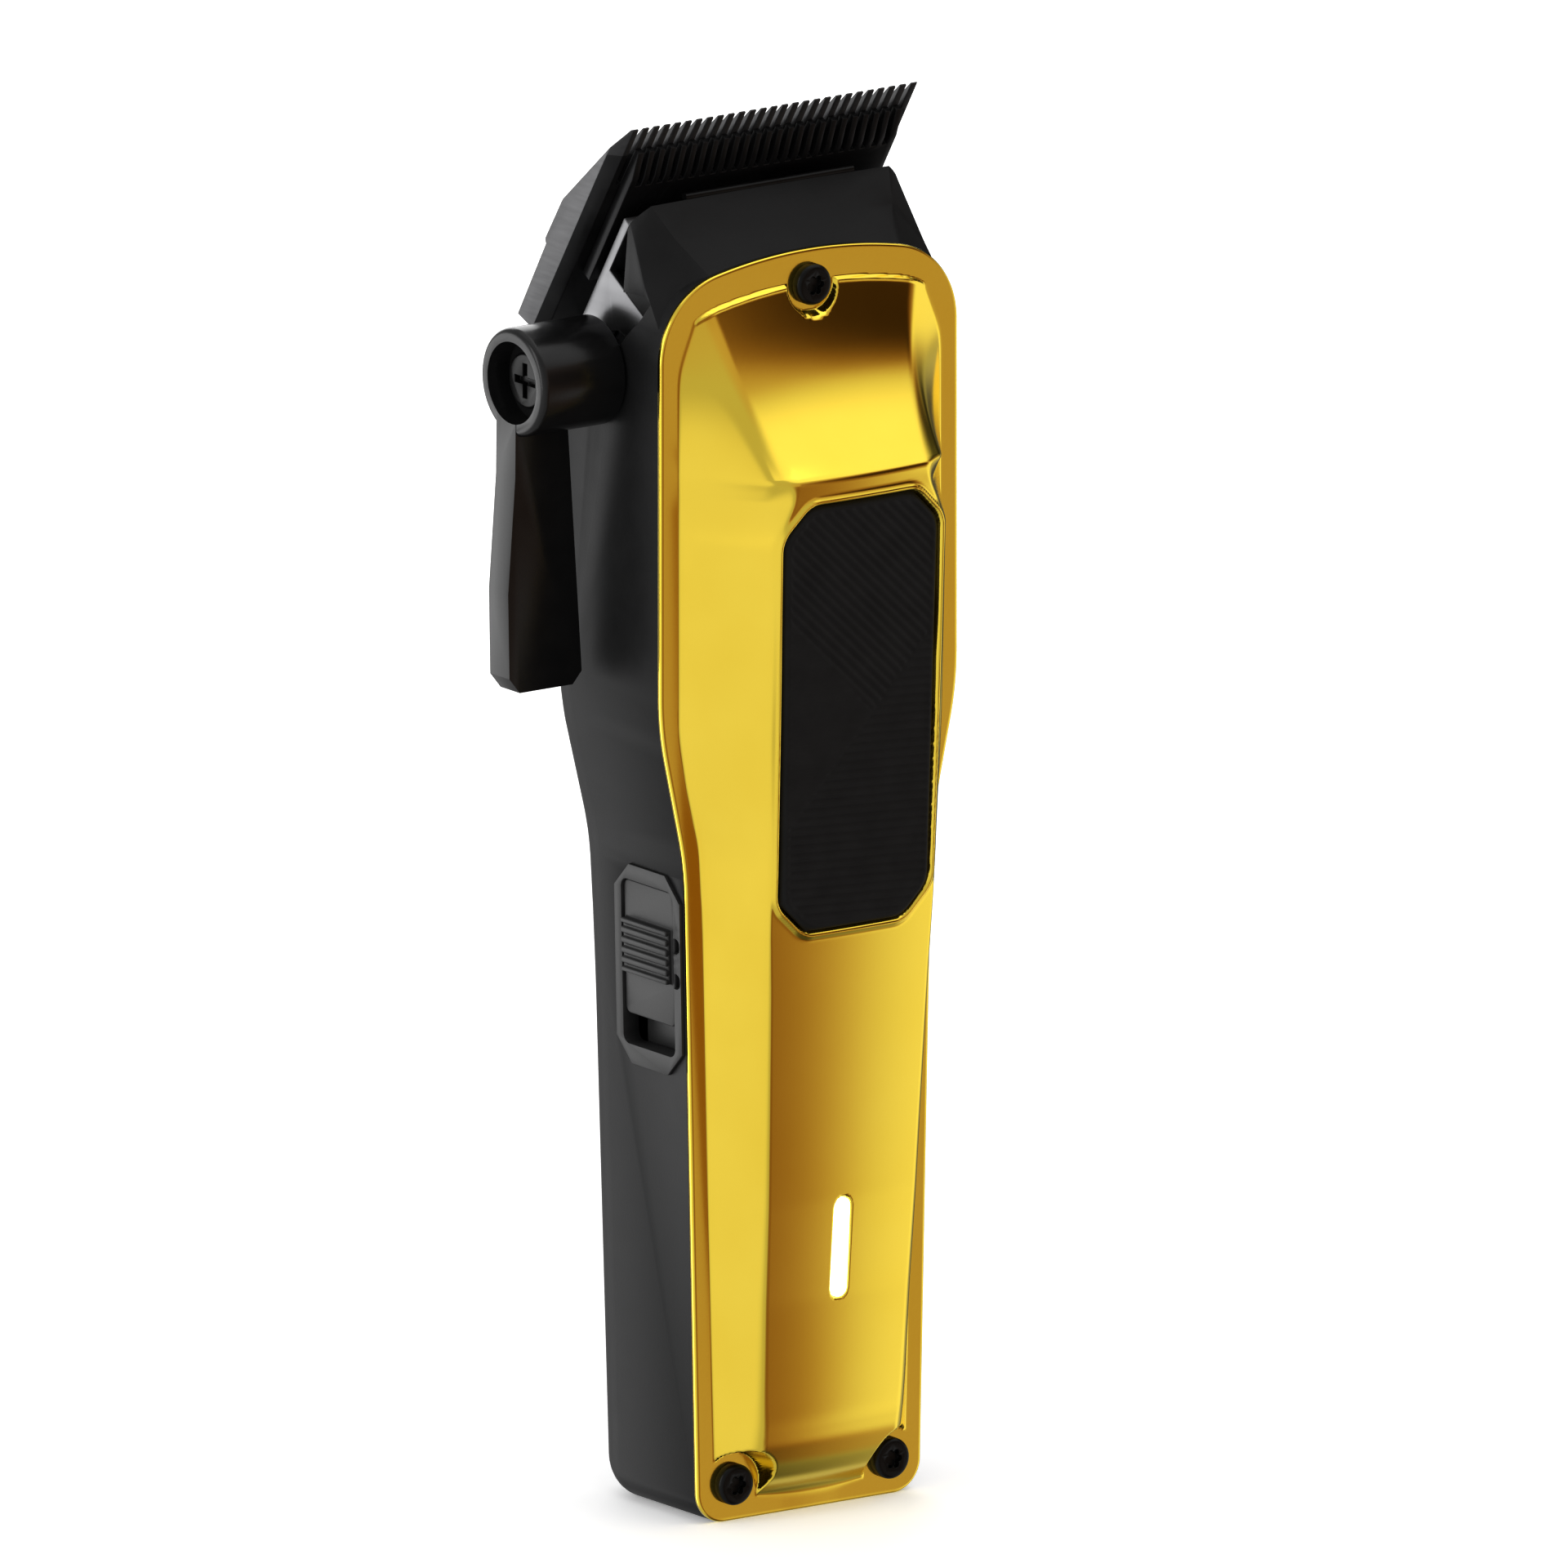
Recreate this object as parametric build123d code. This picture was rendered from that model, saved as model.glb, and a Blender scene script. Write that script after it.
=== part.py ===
from build123d import *
import math
import os

# Cordless hair clipper, standing on its foot with the blade up. Sizes are millimetres.
# X runs across the clipper, Z runs up, and depth (Y) runs back from the rim of the front lid.
# save() moves each piece forward by AXIS_DEPTH, so that the origin is the centre of the charging
# socket's mouth, in the plane of the foot.

# Overall casing
FOOT_HALF_W = 17.2
WAIST_HALF_W = 19.1
WAIST_Z = 86.0
SHOULDER_HALF_W = 23.0
SHOULDER_Z = 104.0
CORNER_Z = 159.7
CROWN_Z = 163.6
FOOT_CORNER_R = 4.2
WAIST_BLEND = 3.84
CROWN_CORNER_R = 11.0
BACK_FOOT = 24.3
BACK_WAIST = BACK_FOOT + 1.1
BACK_HEAD = BACK_FOOT + 3.0
BACK_BLEND_R = 420.0
BACK_CORNER_R = 7.5
WALL = 2.0
FLANGE = 0.7
NOSE_FOOT_Z = 140.0
# Cross-sections of the nose: depth, side inset and Z, top inset and Z, rise of the top in the middle
NOSE = [
    (FLANGE, 0.8, 154.4, 8.2, 161.8, 1.6),
    (5.5, 1.4, 160.6, 6.2, 166.0, 0.7),
    (10.4, 2.4, 168.6, 3.6, 172.4, 0.1),
]

# Blade set: a flat sliding plane leaning back from the cutting tips
BLADE_LEAN = 32.2
TIP_DEPTH = 7.4
TIP_Z = 180.5
BLADE_HALF_W = SHOULDER_HALF_W + 0.2
BLADE_THICK = 4.9
BLADE_BELLY = 0.8
BLADE_LENGTH = 33.8
BLADE_SIDE_CHAMFER = (1.2, 1.7)
GRIND_LENGTH = 17.0
TOOTH_PITCH = 1.66
END_TOOTH_W = 1.6
TOOTH_SLOT = 0.72
BLADE_SLOT_LENGTH = 9.5
BLADE_EDGE = 0.3
BLADE_SCREW_X = 12.0
BLADE_SCREW_ALONG = 30.2
BLADE_SCREW_R = 1.5
BLADE_SCREW_HEAD_R = 3.0
BLADE_SCREW_HEAD_H = 1.5
CUTTER_HALF_W = BLADE_HALF_W - 2.7
CUTTER_SETBACK = 3.4
CUTTER_END = 24.9
CUTTER_THICK = 1.65
CUTTER_SLOT = 0.8
CUTTER_SLOT_LENGTH = 5.2
GUIDE_HALF_W = 8.5
GUIDE_ALONG = (14.5, 23.5)
GUIDE_BASE = 1.5
SOCKET_HALF_W = 4.5
SOCKET_ALONG = (16.0, 22.0)
SOCKET_WALL = 1.9
FORK_SOCKET_DEPTH = 4.0
SLIDE_GAP = 0.05
RUN_GAP = 0.05
SEAM_GAP = 4.6
SIDE_SEAM_GAP = 3.3
SEAM_HALF_W = SHOULDER_HALF_W - 2.0
SEAM_WALL = 2.0
BRACKET_THICK = 1.4
BRACKET_START = 12.5
BRACKET_END = 41.0
BRACKET_HALF_W = SHOULDER_HALF_W - 2.4
BRACKET_WINDOW = (11.5, 26.5)
BRACKET_FOOT_W = 10.0
BRACKET_FOOT_START = 27.0
CHEEK_THICK = 1.2
CHEEK_START = 20.5
CHEEK_DROP = 22.5
SPRING_R = 0.5
SPRING_PLAN = (13.0, 9.4, 15.4)
SPRING_LEG_X = 9.9
CUTTER_SWING = 1.0

# Front lid and what sits in it
LID_WALL = 1.6
PAD_TOP_Z = 133.4
PAD_FOOT_Z = 77.7
PAD_TOP_HALF_W = 12.0
PAD_FOOT_HALF_W = 11.45
PAD_CORNER = 4.0
PAD_THICK = 1.6
PAD_RIDGE_PITCH = 1.15
LIGHT_W = 2.3
LIGHT_FOOT_Z = 28.7
LIGHT_TOP_Z = 41.7
LIGHT_FACE = (-6.35, -7.25)
LIGHT_BACK = -2.4
FOOT_SCREW_X = 12.07
FOOT_SCREW_Z = 4.85
CROWN_SCREW_Z = 159.1
# Height of the lid's raised plateau: Z, height, half-width on top, half-width at its foot
PLATEAU = [
    (2.6, 0.1, 9.5, 12.0),
    (6.0, 3.2, 9.8, 14.2),
    (12.0, 5.4, 10.6, 14.8),
    (28.7, 6.4, 11.2, 15.3),
    (51.0, 8.0, 11.7, 15.9),
    (77.0, 9.7, 12.2, 16.5),
    (86.0, 10.2, 12.4, 16.8),
    (95.0, 10.6, 12.6, 18.8),
    (104.0, 11.0, 12.6, 20.0),
    (128.0, 11.9, 12.6, 20.2),
    (135.8, 13.0, 10.6, 20.2),
    (141.0, 8.4, 11.8, 19.9),
    (147.0, 4.6, 13.2, 19.4),
    (153.0, 2.0, 14.8, 18.2),
    (158.3, 0.1, 16.2, 16.6),
]
PAD_LEVEL = (10.0, 11.8)
SCREW_HEAD_R = 2.65
SCREW_HEAD_H = 1.4
SCREW_SHANK_R = 1.5
SCREW_LENGTH = 6.0
SCREW_WELL_R = 4.2
CROWN_WELL_R = 3.7
BOSS_R = 3.0

# Taper lever on the left side
LEVER_DEPTH = 14.2
LEVER_Z = 148.4
HUB_R = 7.0
HUB_INNER_X = -SHOULDER_HALF_W - 0.4
HUB_OUTER_X = HUB_INNER_X - 12.6
HUB_NECK_X = HUB_INNER_X + 2.2
HUB_RECESS_R = 5.3
HUB_RECESS = 3.4
HUB_EDGE_R = 0.9
LEVER_SCREW_R = 3.6
LEVER_SCREW_HEAD = 1.4
SCREW_SLOT_DEPTH = 0.9
ARM_W = 4.2
ARM_FRONT = 0.9
ARM_FOOT_Z = 108.2
# Front view of the thumb arm below the hub: X and Z of its corners
ARM_OUTLINE = [
    (HUB_OUTER_X, LEVER_Z),
    (HUB_OUTER_X - 0.1, ARM_FOOT_Z + 28),
    (HUB_OUTER_X - 1.2, ARM_FOOT_Z + 13),
    (HUB_OUTER_X - 1.0, ARM_FOOT_Z + 2.0),
    (HUB_OUTER_X + 0.6, ARM_FOOT_Z),
    (HUB_OUTER_X + 8.8, ARM_FOOT_Z),
    (HUB_OUTER_X + 10.2, ARM_FOOT_Z + 1.6),
    (HUB_OUTER_X + 7.6, LEVER_Z),
]
# Opening in the left wall at the lever: depth and Z of its corners
NOTCH = [
    (30.0, 157.4),
    (16.2, 158.4),
    (5.2, 159.4),
    (4.0, 158.6),
    (12.0, 149.0),
    (15.8, 144.6),
    (30.0, 144.6),
]
LEVER_SHAFT_R = 2.5
HUB_NECK_R = LEVER_SHAFT_R + 1.1
CRANK_R = LEVER_SHAFT_R + 0.7
CRANK_PIN_R = 1.2
CRANK_THICK = 1.4
LEVER_SWING = 45.0
BLADE_TRAVEL = 2 * CRANK_R * math.sin(math.radians(LEVER_SWING / 2))
SUPPORT_X = (-BRACKET_HALF_W + 3.2, -BRACKET_HALF_W + 8.4)
SUPPORT_DEPTH = (LEVER_DEPTH - 5.2, LEVER_DEPTH + 4.2)
SUPPORT_Z = (118.5, 124.0, LEVER_Z + 5.6)

# Power switch on the left side
SWITCH_Z = 71.0
SWITCH_DEPTH = 8.2
BEZEL_W = 14.2
BEZEL_LENGTH = 26.0
BEZEL_CUT = 3.2
BEZEL_PROUD = 0.4
SWITCH_SLOT_W = 11.2
SWITCH_SLOT_LENGTH = 21.5
SWITCH_SLOT_SHIFT = 0.25
SLIDER_LENGTH = 17.5
SLIDER_THICK = 1.3
SLIDER_SIDE_GAP = 0.2
GRIP_LENGTH = 7.0
GRIP_Y = 2.5
GRIP_PITCH = 1.3
TONGUE = (2.4, 3.0, 4.2)
SWITCH_TRAVEL = 3.5
SWITCH_BODY_W = 9.0
SWITCH_BODY_LENGTH = 14.0
SWITCH_EAR_LENGTH = 25.0

# Drive and power inside the casing
AXIS_DEPTH = (BACK_FOOT + FLANGE) / 2
MOTOR_R = 10.8
MOTOR_WALL = 1.0
MOTOR_NOSE_R = 3.0
MOTOR_NOSE_H = 1.6
ROTOR_GAP = 1.2
END_CAP_H = 3.0
MOUNT_THICK = 2.0
MOTOR_FOOT_Z = 86.0
MOTOR_LENGTH = 30.0
MOTOR_SHAFT_R = 1.0
ECCENTRIC_LIFT = 6.0
ECCENTRIC_R = 5.0
ECCENTRIC_H = 7.0
ECCENTRIC_BORE = 6.0
DRIVE_PIN_R = 1.2
DRIVE_PIN_H = 6.0
FORK_W = 12.0
FORK_ARM_W = 6.0
FORK_THICK = 2.6
FORK_TOP_Z = 156.0
CELL_R = 9.2
CELL_LENGTH = 65.0
CELL_FOOT_Z = 13.4
CONTACT_THICK = 0.5
CONTACT_HALF_W = 6.0
CONTACT_REACH = 5.0
CONTACT_TAB = (3.0, 2.5)
CRADLE_HALF_W = CELL_R + 1.2
CRADLE_ENDS = (2.5, 3.0)
BOARD_HALF_W = 9.5
BOARD_DEPTH = (-1.2, 0.4)
BOARD_Z = (14.0, 74.0)
JACK_BORE_R = 2.85
JACK_PIN_R = 1.0
JACK_LENGTH = 10.0
JACK_MOUTH = 4.4
JACK_WALL = 1.5
JACK_INNER_R = 2.0

LEAN = math.radians(BLADE_LEAN)
BLADE = Plane(origin=(0, TIP_DEPTH, TIP_Z), x_dir=(1, 0, 0), z_dir=(0, math.cos(LEAN), math.sin(LEAN)))
SIDE_SLOPE = math.atan2(WAIST_HALF_W - FOOT_HALF_W, WAIST_Z)
FLARE_SLOPE = math.atan2(SHOULDER_HALF_W - WAIST_HALF_W, SHOULDER_Z - WAIST_Z)
WAIST_R = WAIST_BLEND / math.tan((FLARE_SLOPE - SIDE_SLOPE) / 2)
MOTOR_TOP_Z = MOTOR_FOOT_Z + MOTOR_LENGTH
ECCENTRIC_Z = MOTOR_TOP_Z + ECCENTRIC_LIFT
PIN_Z = ECCENTRIC_Z + ECCENTRIC_H
CUTTER_UNDERSIDE = -CUTTER_THICK - 0.1
SLIDER_TOP = SWITCH_SLOT_SHIFT + SWITCH_SLOT_LENGTH / 2 - 0.1
SLIDER_Y = SLIDER_TOP - SLIDER_LENGTH / 2


def front_plane(depth):
    """Upright plane at a depth, facing the lid's side: local x across and local y up."""
    return Plane(origin=(0, depth, 0), x_dir=(1, 0, 0), z_dir=(0, -1, 0))


def box(x, y, z):
    """Box between two X, two depth and two Z values."""
    centre = ((x[0] + x[1]) / 2, (y[0] + y[1]) / 2, (z[0] + z[1]) / 2)
    return Pos(*centre) * Box(x[1] - x[0], y[1] - y[0], z[1] - z[0])


def rod(axis, radius, span, centre):
    """Cylinder along an axis: its span on that axis, and its centre on the other two."""
    middle = (span[0] + span[1]) / 2
    turned = {"X": Rot(0, 90, 0), "Y": Rot(90, 0, 0), "Z": Rot(0, 0, 0)}[axis]
    place = {"X": (middle, *centre), "Y": (centre[0], middle, centre[1]), "Z": (*centre, middle)}[axis]
    return Pos(*place) * turned * Cylinder(radius, span[1] - span[0])


def wedge(x, profile):
    """Solid of constant (depth, Z) profile between two X values."""
    face = Plane.YZ * make_face(Polyline(*profile, close=True))
    return Pos(x[0], 0, 0) * extrude(face, amount=x[1] - x[0], dir=(1, 0, 0))


def blade_point(along, above):
    """Depth and Z of a point: its distance down the blade from the tips, and above its sliding plane."""
    return (
        TIP_DEPTH + along * math.sin(LEAN) + above * math.cos(LEAN),
        TIP_Z - along * math.cos(LEAN) + above * math.sin(LEAN),
    )


def blade_box(x, along, above):
    """Box squared to the blade: across, down the blade from its tips, and above its sliding plane."""
    return BLADE * box(x, along, above)


def casing_half_width(z):
    """Half the casing's width at a height below the waist."""
    return FOOT_HALF_W + z * math.tan(SIDE_SLOPE)


# Shared shapes of the casing

def casing_outline(inset=0.0, corner=FOOT_CORNER_R):
    """Front outline of the casing, drawn in inwards by an inset."""
    corners = [
        (FOOT_HALF_W - inset, inset),
        (WAIST_HALF_W - inset, WAIST_Z),
        (SHOULDER_HALF_W - inset, SHOULDER_Z),
        (SHOULDER_HALF_W - inset, CORNER_Z - inset),
    ]
    mirrored = [(-x, z) for x, z in reversed(corners)]
    crown = ThreePointArc(corners[-1], (0, CROWN_Z - inset), mirrored[0])
    sketch = make_face([Polyline(*corners), crown, Polyline(*mirrored, corners[0])])
    flares = [v for v in sketch.vertices() if abs(v.Y - WAIST_Z) < 1 or abs(v.Y - SHOULDER_Z) < 1]
    sketch = fillet(flares, WAIST_R)
    crowns = [v for v in sketch.vertices() if abs(v.Y - CORNER_Z + inset) < 1]
    sketch = fillet(crowns, CROWN_CORNER_R - inset)
    feet = [v for v in sketch.vertices() if abs(v.Y - inset) < 0.1]
    return fillet(feet, corner)


def back_profile(inset=0.0):
    """Side view of the casing as a solid wider than it, with a gently curved back."""
    back = FilletPolyline(
        (BACK_FOOT - inset, -5),
        (BACK_WAIST - inset, WAIST_Z - 16),
        (BACK_HEAD - inset, SHOULDER_Z + 4),
        (BACK_HEAD - inset, TIP_Z + 5),
        radius=BACK_BLEND_R,
    )
    front = Polyline((BACK_HEAD - inset, TIP_Z + 5), (-5, TIP_Z + 5), (-5, -5), (BACK_FOOT - inset, -5))
    face = Plane.YZ * make_face([back, front])
    return extrude(face, amount=2 * SHOULDER_HALF_W, both=True)


def rounded_casing(inset, start):
    """Casing block from a start depth to its back, with rounded back corners."""
    block = extrude(front_plane(start) * casing_outline(inset), amount=40, dir=(0, 1, 0))
    block = block & back_profile(inset)
    rear = [
        e for e in block.edges()
        if e.center().Y > BACK_FOOT - inset - 1 and abs(e.center().X) > FOOT_HALF_W - inset - 0.6
        and e.center().Z < CORNER_Z - CROWN_CORNER_R
    ]
    return fillet(rear, BACK_CORNER_R - inset)


def nose():
    """Sloping front of the head, from the lid's upper edge to the seam under the blade."""
    def section(depth, side_inset, side_z, top_inset, top_z, rise):
        side_x = SHOULDER_HALF_W - side_inset
        top_x = SHOULDER_HALF_W - top_inset
        points = [(-SHOULDER_HALF_W, NOSE_FOOT_Z), (-side_x, side_z), (-top_x, top_z)]
        mirrored = [(-x, z) for x, z in reversed(points)]
        top = ThreePointArc(points[-1], (0, top_z + rise), mirrored[0])
        sketch = make_face([Polyline(*points), top, Polyline(*mirrored, points[0])])
        return front_plane(depth) * sketch
    return loft([section(*values) for values in NOSE], ruled=True)


def below_seam(solid, gap):
    """What lies inside the plane at a gap under the blade's sliding plane."""
    return solid - blade_box((-40, 40), (-40, 90), (-gap, 60))


# Casing pieces

def housing():
    """Rear shell of the clipper: walls, screw bosses, blade seat and side openings."""
    outer = rounded_casing(0.0, FLANGE)
    outer = below_seam(outer + nose(), SIDE_SEAM_GAP)
    outer -= blade_box((-SEAM_HALF_W, SEAM_HALF_W), (-40, 90), (-SEAM_GAP, 60))
    cavity = below_seam(rounded_casing(WALL, -1.0), SEAM_GAP + SEAM_WALL)
    shell = outer - cavity
    for x, z, depth in lid_screw_places():
        shell += rod("Y", BOSS_R, (FLANGE, depth), (x, z))
        shell -= rod("Y", SCREW_SHANK_R + RUN_GAP, (0, SCREW_LENGTH + 0.3), (x, z))
    shell -= blade_box((-15, 15), (BRACKET_START, BRACKET_END + 2), (-8, 0))
    shell -= cheek_block(0.35, SEAM_GAP - 1)
    shell -= wedge((-40, -BRACKET_HALF_W - 0.2), NOTCH)
    shell -= rod("X", HUB_NECK_R + 0.3, (-40, -BRACKET_HALF_W - 0.2), (LEVER_DEPTH, LEVER_Z))
    shell -= side_frame() * prism_octagon(BEZEL_W + 0.1, BEZEL_LENGTH + 0.1, -4, 3)
    shell -= rod("Z", JACK_BORE_R + JACK_WALL + RUN_GAP, (-1, WALL + 2), (0, AXIS_DEPTH))
    return shell


def lid_screw_places():
    """X, Z and boss depth of the three lid screws."""
    return [
        (-FOOT_SCREW_X, FOOT_SCREW_Z, BACK_FOOT - WALL),
        (FOOT_SCREW_X, FOOT_SCREW_Z, BACK_FOOT - WALL),
        (0, CROWN_SCREW_Z, SCREW_LENGTH + 1.0),
    ]


def plateau(inset):
    """Raised middle of the lid, drawn in by an inset."""
    sections = []
    for z, height, top, foot in PLATEAU:
        if height > 1.5 or inset == 0:
            level = max(height - inset * 1.9, 0.05)
            half = [(foot - inset, 0), (top - 0.8 * inset, level)]
            if inset > 0:
                half = [(foot - inset, -1.5 * FLANGE)] + half
            points = half + [(-x, y) for x, y in reversed(half)]
            outline = make_face(Polyline(*[(x, -y) for x, y in points], close=True))
            sections.append(Pos(0, 0, z) * outline)
    return loft(sections, ruled=True)


def pad_outline(gap):
    """Front outline of the thumb pad, grown by a gap."""
    top = PAD_TOP_Z + gap
    foot = PAD_FOOT_Z - gap
    half = [
        (PAD_FOOT_HALF_W - PAD_CORNER, foot),
        (PAD_FOOT_HALF_W + gap, foot + PAD_CORNER),
        (PAD_TOP_HALF_W + gap, top - PAD_CORNER),
        (PAD_TOP_HALF_W - PAD_CORNER, top),
    ]
    sketch = make_face(Polyline(*half, *[(-x, z) for x, z in reversed(half)], close=True))
    return front_plane(0) * fillet(sketch.vertices(), 1.0)


def pad_level(z):
    """Height of the thumb pad's face at a height on the lid."""
    share = (z - PAD_FOOT_Z) / (PAD_TOP_Z - PAD_FOOT_Z)
    return PAD_LEVEL[0] + (PAD_LEVEL[1] - PAD_LEVEL[0]) * share


def pad_slab(gap, low, high):
    """Block under the thumb pad's outline, between two offsets from its face."""
    block = extrude(pad_outline(gap), amount=30)
    ends = (PAD_FOOT_Z - 5, PAD_TOP_Z + 5)
    profile = [(-pad_level(ends[0]) - low, ends[0]), (-pad_level(ends[1]) - low, ends[1])]
    profile += [(-pad_level(ends[1]) - high, ends[1]), (-pad_level(ends[0]) - high, ends[0])]
    return block & wedge((-20, 20), profile)


def screw_wells(grow):
    """Round pockets that clear the lid screws' heads."""
    wells = [rod("Y", SCREW_WELL_R + grow, (-15, 0), (x, z)) for x, z, _ in lid_screw_places()[:2]]
    crown = rod("Y", CROWN_WELL_R + grow, (-15, 0), (0, CROWN_SCREW_Z))
    return wells[0] + wells[1] + crown


def lid():
    """Front lid: a flat rim with a sculpted plateau, hollow behind."""
    rim = extrude(front_plane(0) * casing_outline(0.0), amount=FLANGE, dir=(0, 1, 0))
    front = [e for e in rim.edges() if abs(e.center().Y) < 0.01]
    rim = fillet(front, 0.3)
    raised = plateau(0.0) - screw_wells(0.0)
    hollow = plateau(LID_WALL) - screw_wells(LID_WALL)
    shell = rim + raised - hollow
    shell -= pad_slab(0.05, -PAD_THICK, 9)
    shell -= light_slot(0.05)
    for x, z, _ in lid_screw_places():
        shell -= rod("Y", SCREW_SHANK_R + RUN_GAP, (-3, 3), (x, z))
    return shell


def thumb_pad():
    """Grip pad set in the lid, with fine grooves across it."""
    pad = pad_slab(0.0, -PAD_THICK, 0.0)
    count = int((PAD_TOP_Z - PAD_FOOT_Z - 2 * PAD_CORNER) / (4 * PAD_RIDGE_PITCH))
    for index in range(count):
        z = PAD_FOOT_Z + PAD_CORNER + 4 * PAD_RIDGE_PITCH * (index + 0.5)
        pad -= box((-9, 9), (-pad_level(z) - 1, -pad_level(z) + 0.25), (z, z + 0.6))
    return pad


def light_slot(gap):
    """Round-ended bar for the status light, through the lid's wall."""
    half = LIGHT_W / 2 + gap
    bar = box((-half, half), (-9, -1.5), (LIGHT_FOOT_Z + LIGHT_W / 2, LIGHT_TOP_Z - LIGHT_W / 2))
    for z in (LIGHT_FOOT_Z + LIGHT_W / 2, LIGHT_TOP_Z - LIGHT_W / 2):
        bar += rod("Y", half, (-9, -1.5), (0, z))
    return bar


def light_bar():
    """Clear light guide, flush with the lid's face."""
    low, high = LIGHT_FACE
    face = [(low, LIGHT_FOOT_Z), (high, LIGHT_TOP_Z), (LIGHT_BACK, LIGHT_TOP_Z), (LIGHT_BACK, LIGHT_FOOT_Z)]
    return light_slot(0.0) & wedge((-5, 5), face)


def pan_screw(centre, length):
    """Lid screw: a pan head with a star recess and a plain shank, pointing back."""
    head = rod("Y", SCREW_HEAD_R, (-SCREW_HEAD_H, 0), centre)
    rim = [e for e in head.edges() if abs(e.center().Y + SCREW_HEAD_H) < 0.01]
    head = fillet(rim, 0.6)
    for turn in range(6):
        angle = math.radians(60 * turn)
        spot = (centre[0] + 0.9 * math.cos(angle), centre[1] + 0.9 * math.sin(angle))
        head -= rod("Y", 0.42, (-SCREW_HEAD_H - 1, -0.5), spot)
    head -= rod("Y", 0.95, (-SCREW_HEAD_H - 1, -0.5), centre)
    return head + rod("Y", SCREW_SHANK_R, (0, length), centre)


def lid_screws():
    """Three lid screws."""
    return [pan_screw((x, z), SCREW_LENGTH) for x, z, _ in lid_screw_places()]


# Blade set

def tooth_slots(half_width, width, start, length, above):
    """Gaps between a row of teeth that fills a half-width to both sides."""
    pairs = round(half_width / TOOTH_PITCH)
    slots = []
    for index in range(-pairs, pairs):
        x = (index + 0.5) * TOOTH_PITCH
        slots.append(blade_box((x - width / 2, x + width / 2), (start - 1, start + length), above))
    return slots


def side_chamfer(side):
    """What is cut from the outer blade's lower side edge."""
    wide, tall = BLADE_SIDE_CHAMFER
    edge = side * (BLADE_HALF_W + 0.1)
    corner = Polyline((edge, tall), (edge, -0.1), (side * (BLADE_HALF_W - wide), -0.1), close=True)
    bar = extrude(Plane.XZ * make_face(corner), amount=BLADE_LENGTH + 10, dir=(0, 1, 0))
    return BLADE * Pos(0, 1.0, 0) * bar


def fixed_blade():
    """Outer blade: a ground plate with a row of long teeth and two broad end teeth."""
    heel = BLADE_LENGTH
    belly = GRIND_LENGTH + 7.0
    crest = BLADE_THICK + BLADE_BELLY
    profile = [
        (0, 0),
        (0, BLADE_EDGE),
        (GRIND_LENGTH, crest - 0.1),
        (belly, crest),
        (belly + 0.4, BLADE_THICK + 0.3),
        (heel + 2.6, BLADE_THICK),
        (heel + 2.2, BLADE_THICK / 2),
        (heel, 0),
    ]
    plate = wedge((-BLADE_HALF_W, BLADE_HALF_W), [blade_point(*p) for p in profile])
    row = BLADE_HALF_W - END_TOOTH_W
    plate -= tooth_slots(row, TOOTH_SLOT, 0, BLADE_SLOT_LENGTH, (-1, crest + 1))
    plate -= [side_chamfer(-1), side_chamfer(1)]
    for x in (-BLADE_SCREW_X, BLADE_SCREW_X):
        spot = BLADE * Pos(x, BLADE_SCREW_ALONG, 0)
        plate -= spot * Cylinder(BLADE_SCREW_R + RUN_GAP, 4 * BLADE_THICK)
        sink = Cylinder(BLADE_SCREW_HEAD_R + 0.1, 2 * BLADE_SCREW_HEAD_H + 0.4)
        plate -= spot * Pos(0, 0, BLADE_THICK) * sink
    return plate


def blade_screws():
    """Two screws that hold the outer blade to its bracket."""
    screws = []
    for x in (-BLADE_SCREW_X, BLADE_SCREW_X):
        spot = BLADE * Pos(x, BLADE_SCREW_ALONG, 0)
        seat = BLADE_THICK - BLADE_SCREW_HEAD_H - 0.2
        head = Cylinder(BLADE_SCREW_HEAD_R, BLADE_SCREW_HEAD_H)
        head = spot * Pos(0, 0, seat + BLADE_SCREW_HEAD_H / 2) * head
        tip = -SEAM_GAP + BRACKET_THICK
        shank = spot * Pos(0, 0, (seat + tip) / 2) * Cylinder(BLADE_SCREW_R, seat - tip)
        slot = 1.2 * BLADE_SCREW_HEAD_R
        cross = spot * Pos(0, 0, BLADE_THICK) * Box(slot, 0.8, 1.2)
        cross += spot * Pos(0, 0, BLADE_THICK) * Box(0.8, slot, 1.2)
        screws.append(head + shank - cross)
    return screws


def cutter_blade():
    """Inner blade that swings from side to side against the outer one."""
    profile = [
        (CUTTER_SETBACK, -SLIDE_GAP), (CUTTER_SETBACK, -0.9), (CUTTER_SETBACK + 3.8, CUTTER_UNDERSIDE),
        (CUTTER_END, CUTTER_UNDERSIDE), (CUTTER_END, -SLIDE_GAP),
    ]
    plate = wedge((-CUTTER_HALF_W, CUTTER_HALF_W), [blade_point(*p) for p in profile])
    return plate - tooth_slots(CUTTER_HALF_W - 0.6, CUTTER_SLOT, CUTTER_SETBACK, CUTTER_SLOT_LENGTH, (-4, 1))


def cutter_guide():
    """Moulded saddle fixed under the cutter, with a socket for the drive fork."""
    low = CUTTER_UNDERSIDE
    inner = SOCKET_HALF_W - SOCKET_WALL
    saddle = blade_box((-GUIDE_HALF_W, GUIDE_HALF_W), GUIDE_ALONG, (low - GUIDE_BASE, low))
    socket = (low - FORK_SOCKET_DEPTH, low - GUIDE_BASE)
    saddle += blade_box((-SOCKET_HALF_W, SOCKET_HALF_W), SOCKET_ALONG, socket)
    hole = (SOCKET_ALONG[0] + 1, SOCKET_ALONG[1] - 1)
    return saddle - blade_box((-inner, inner), hole, (low - FORK_SOCKET_DEPTH - 1, low - 1.0))


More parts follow.
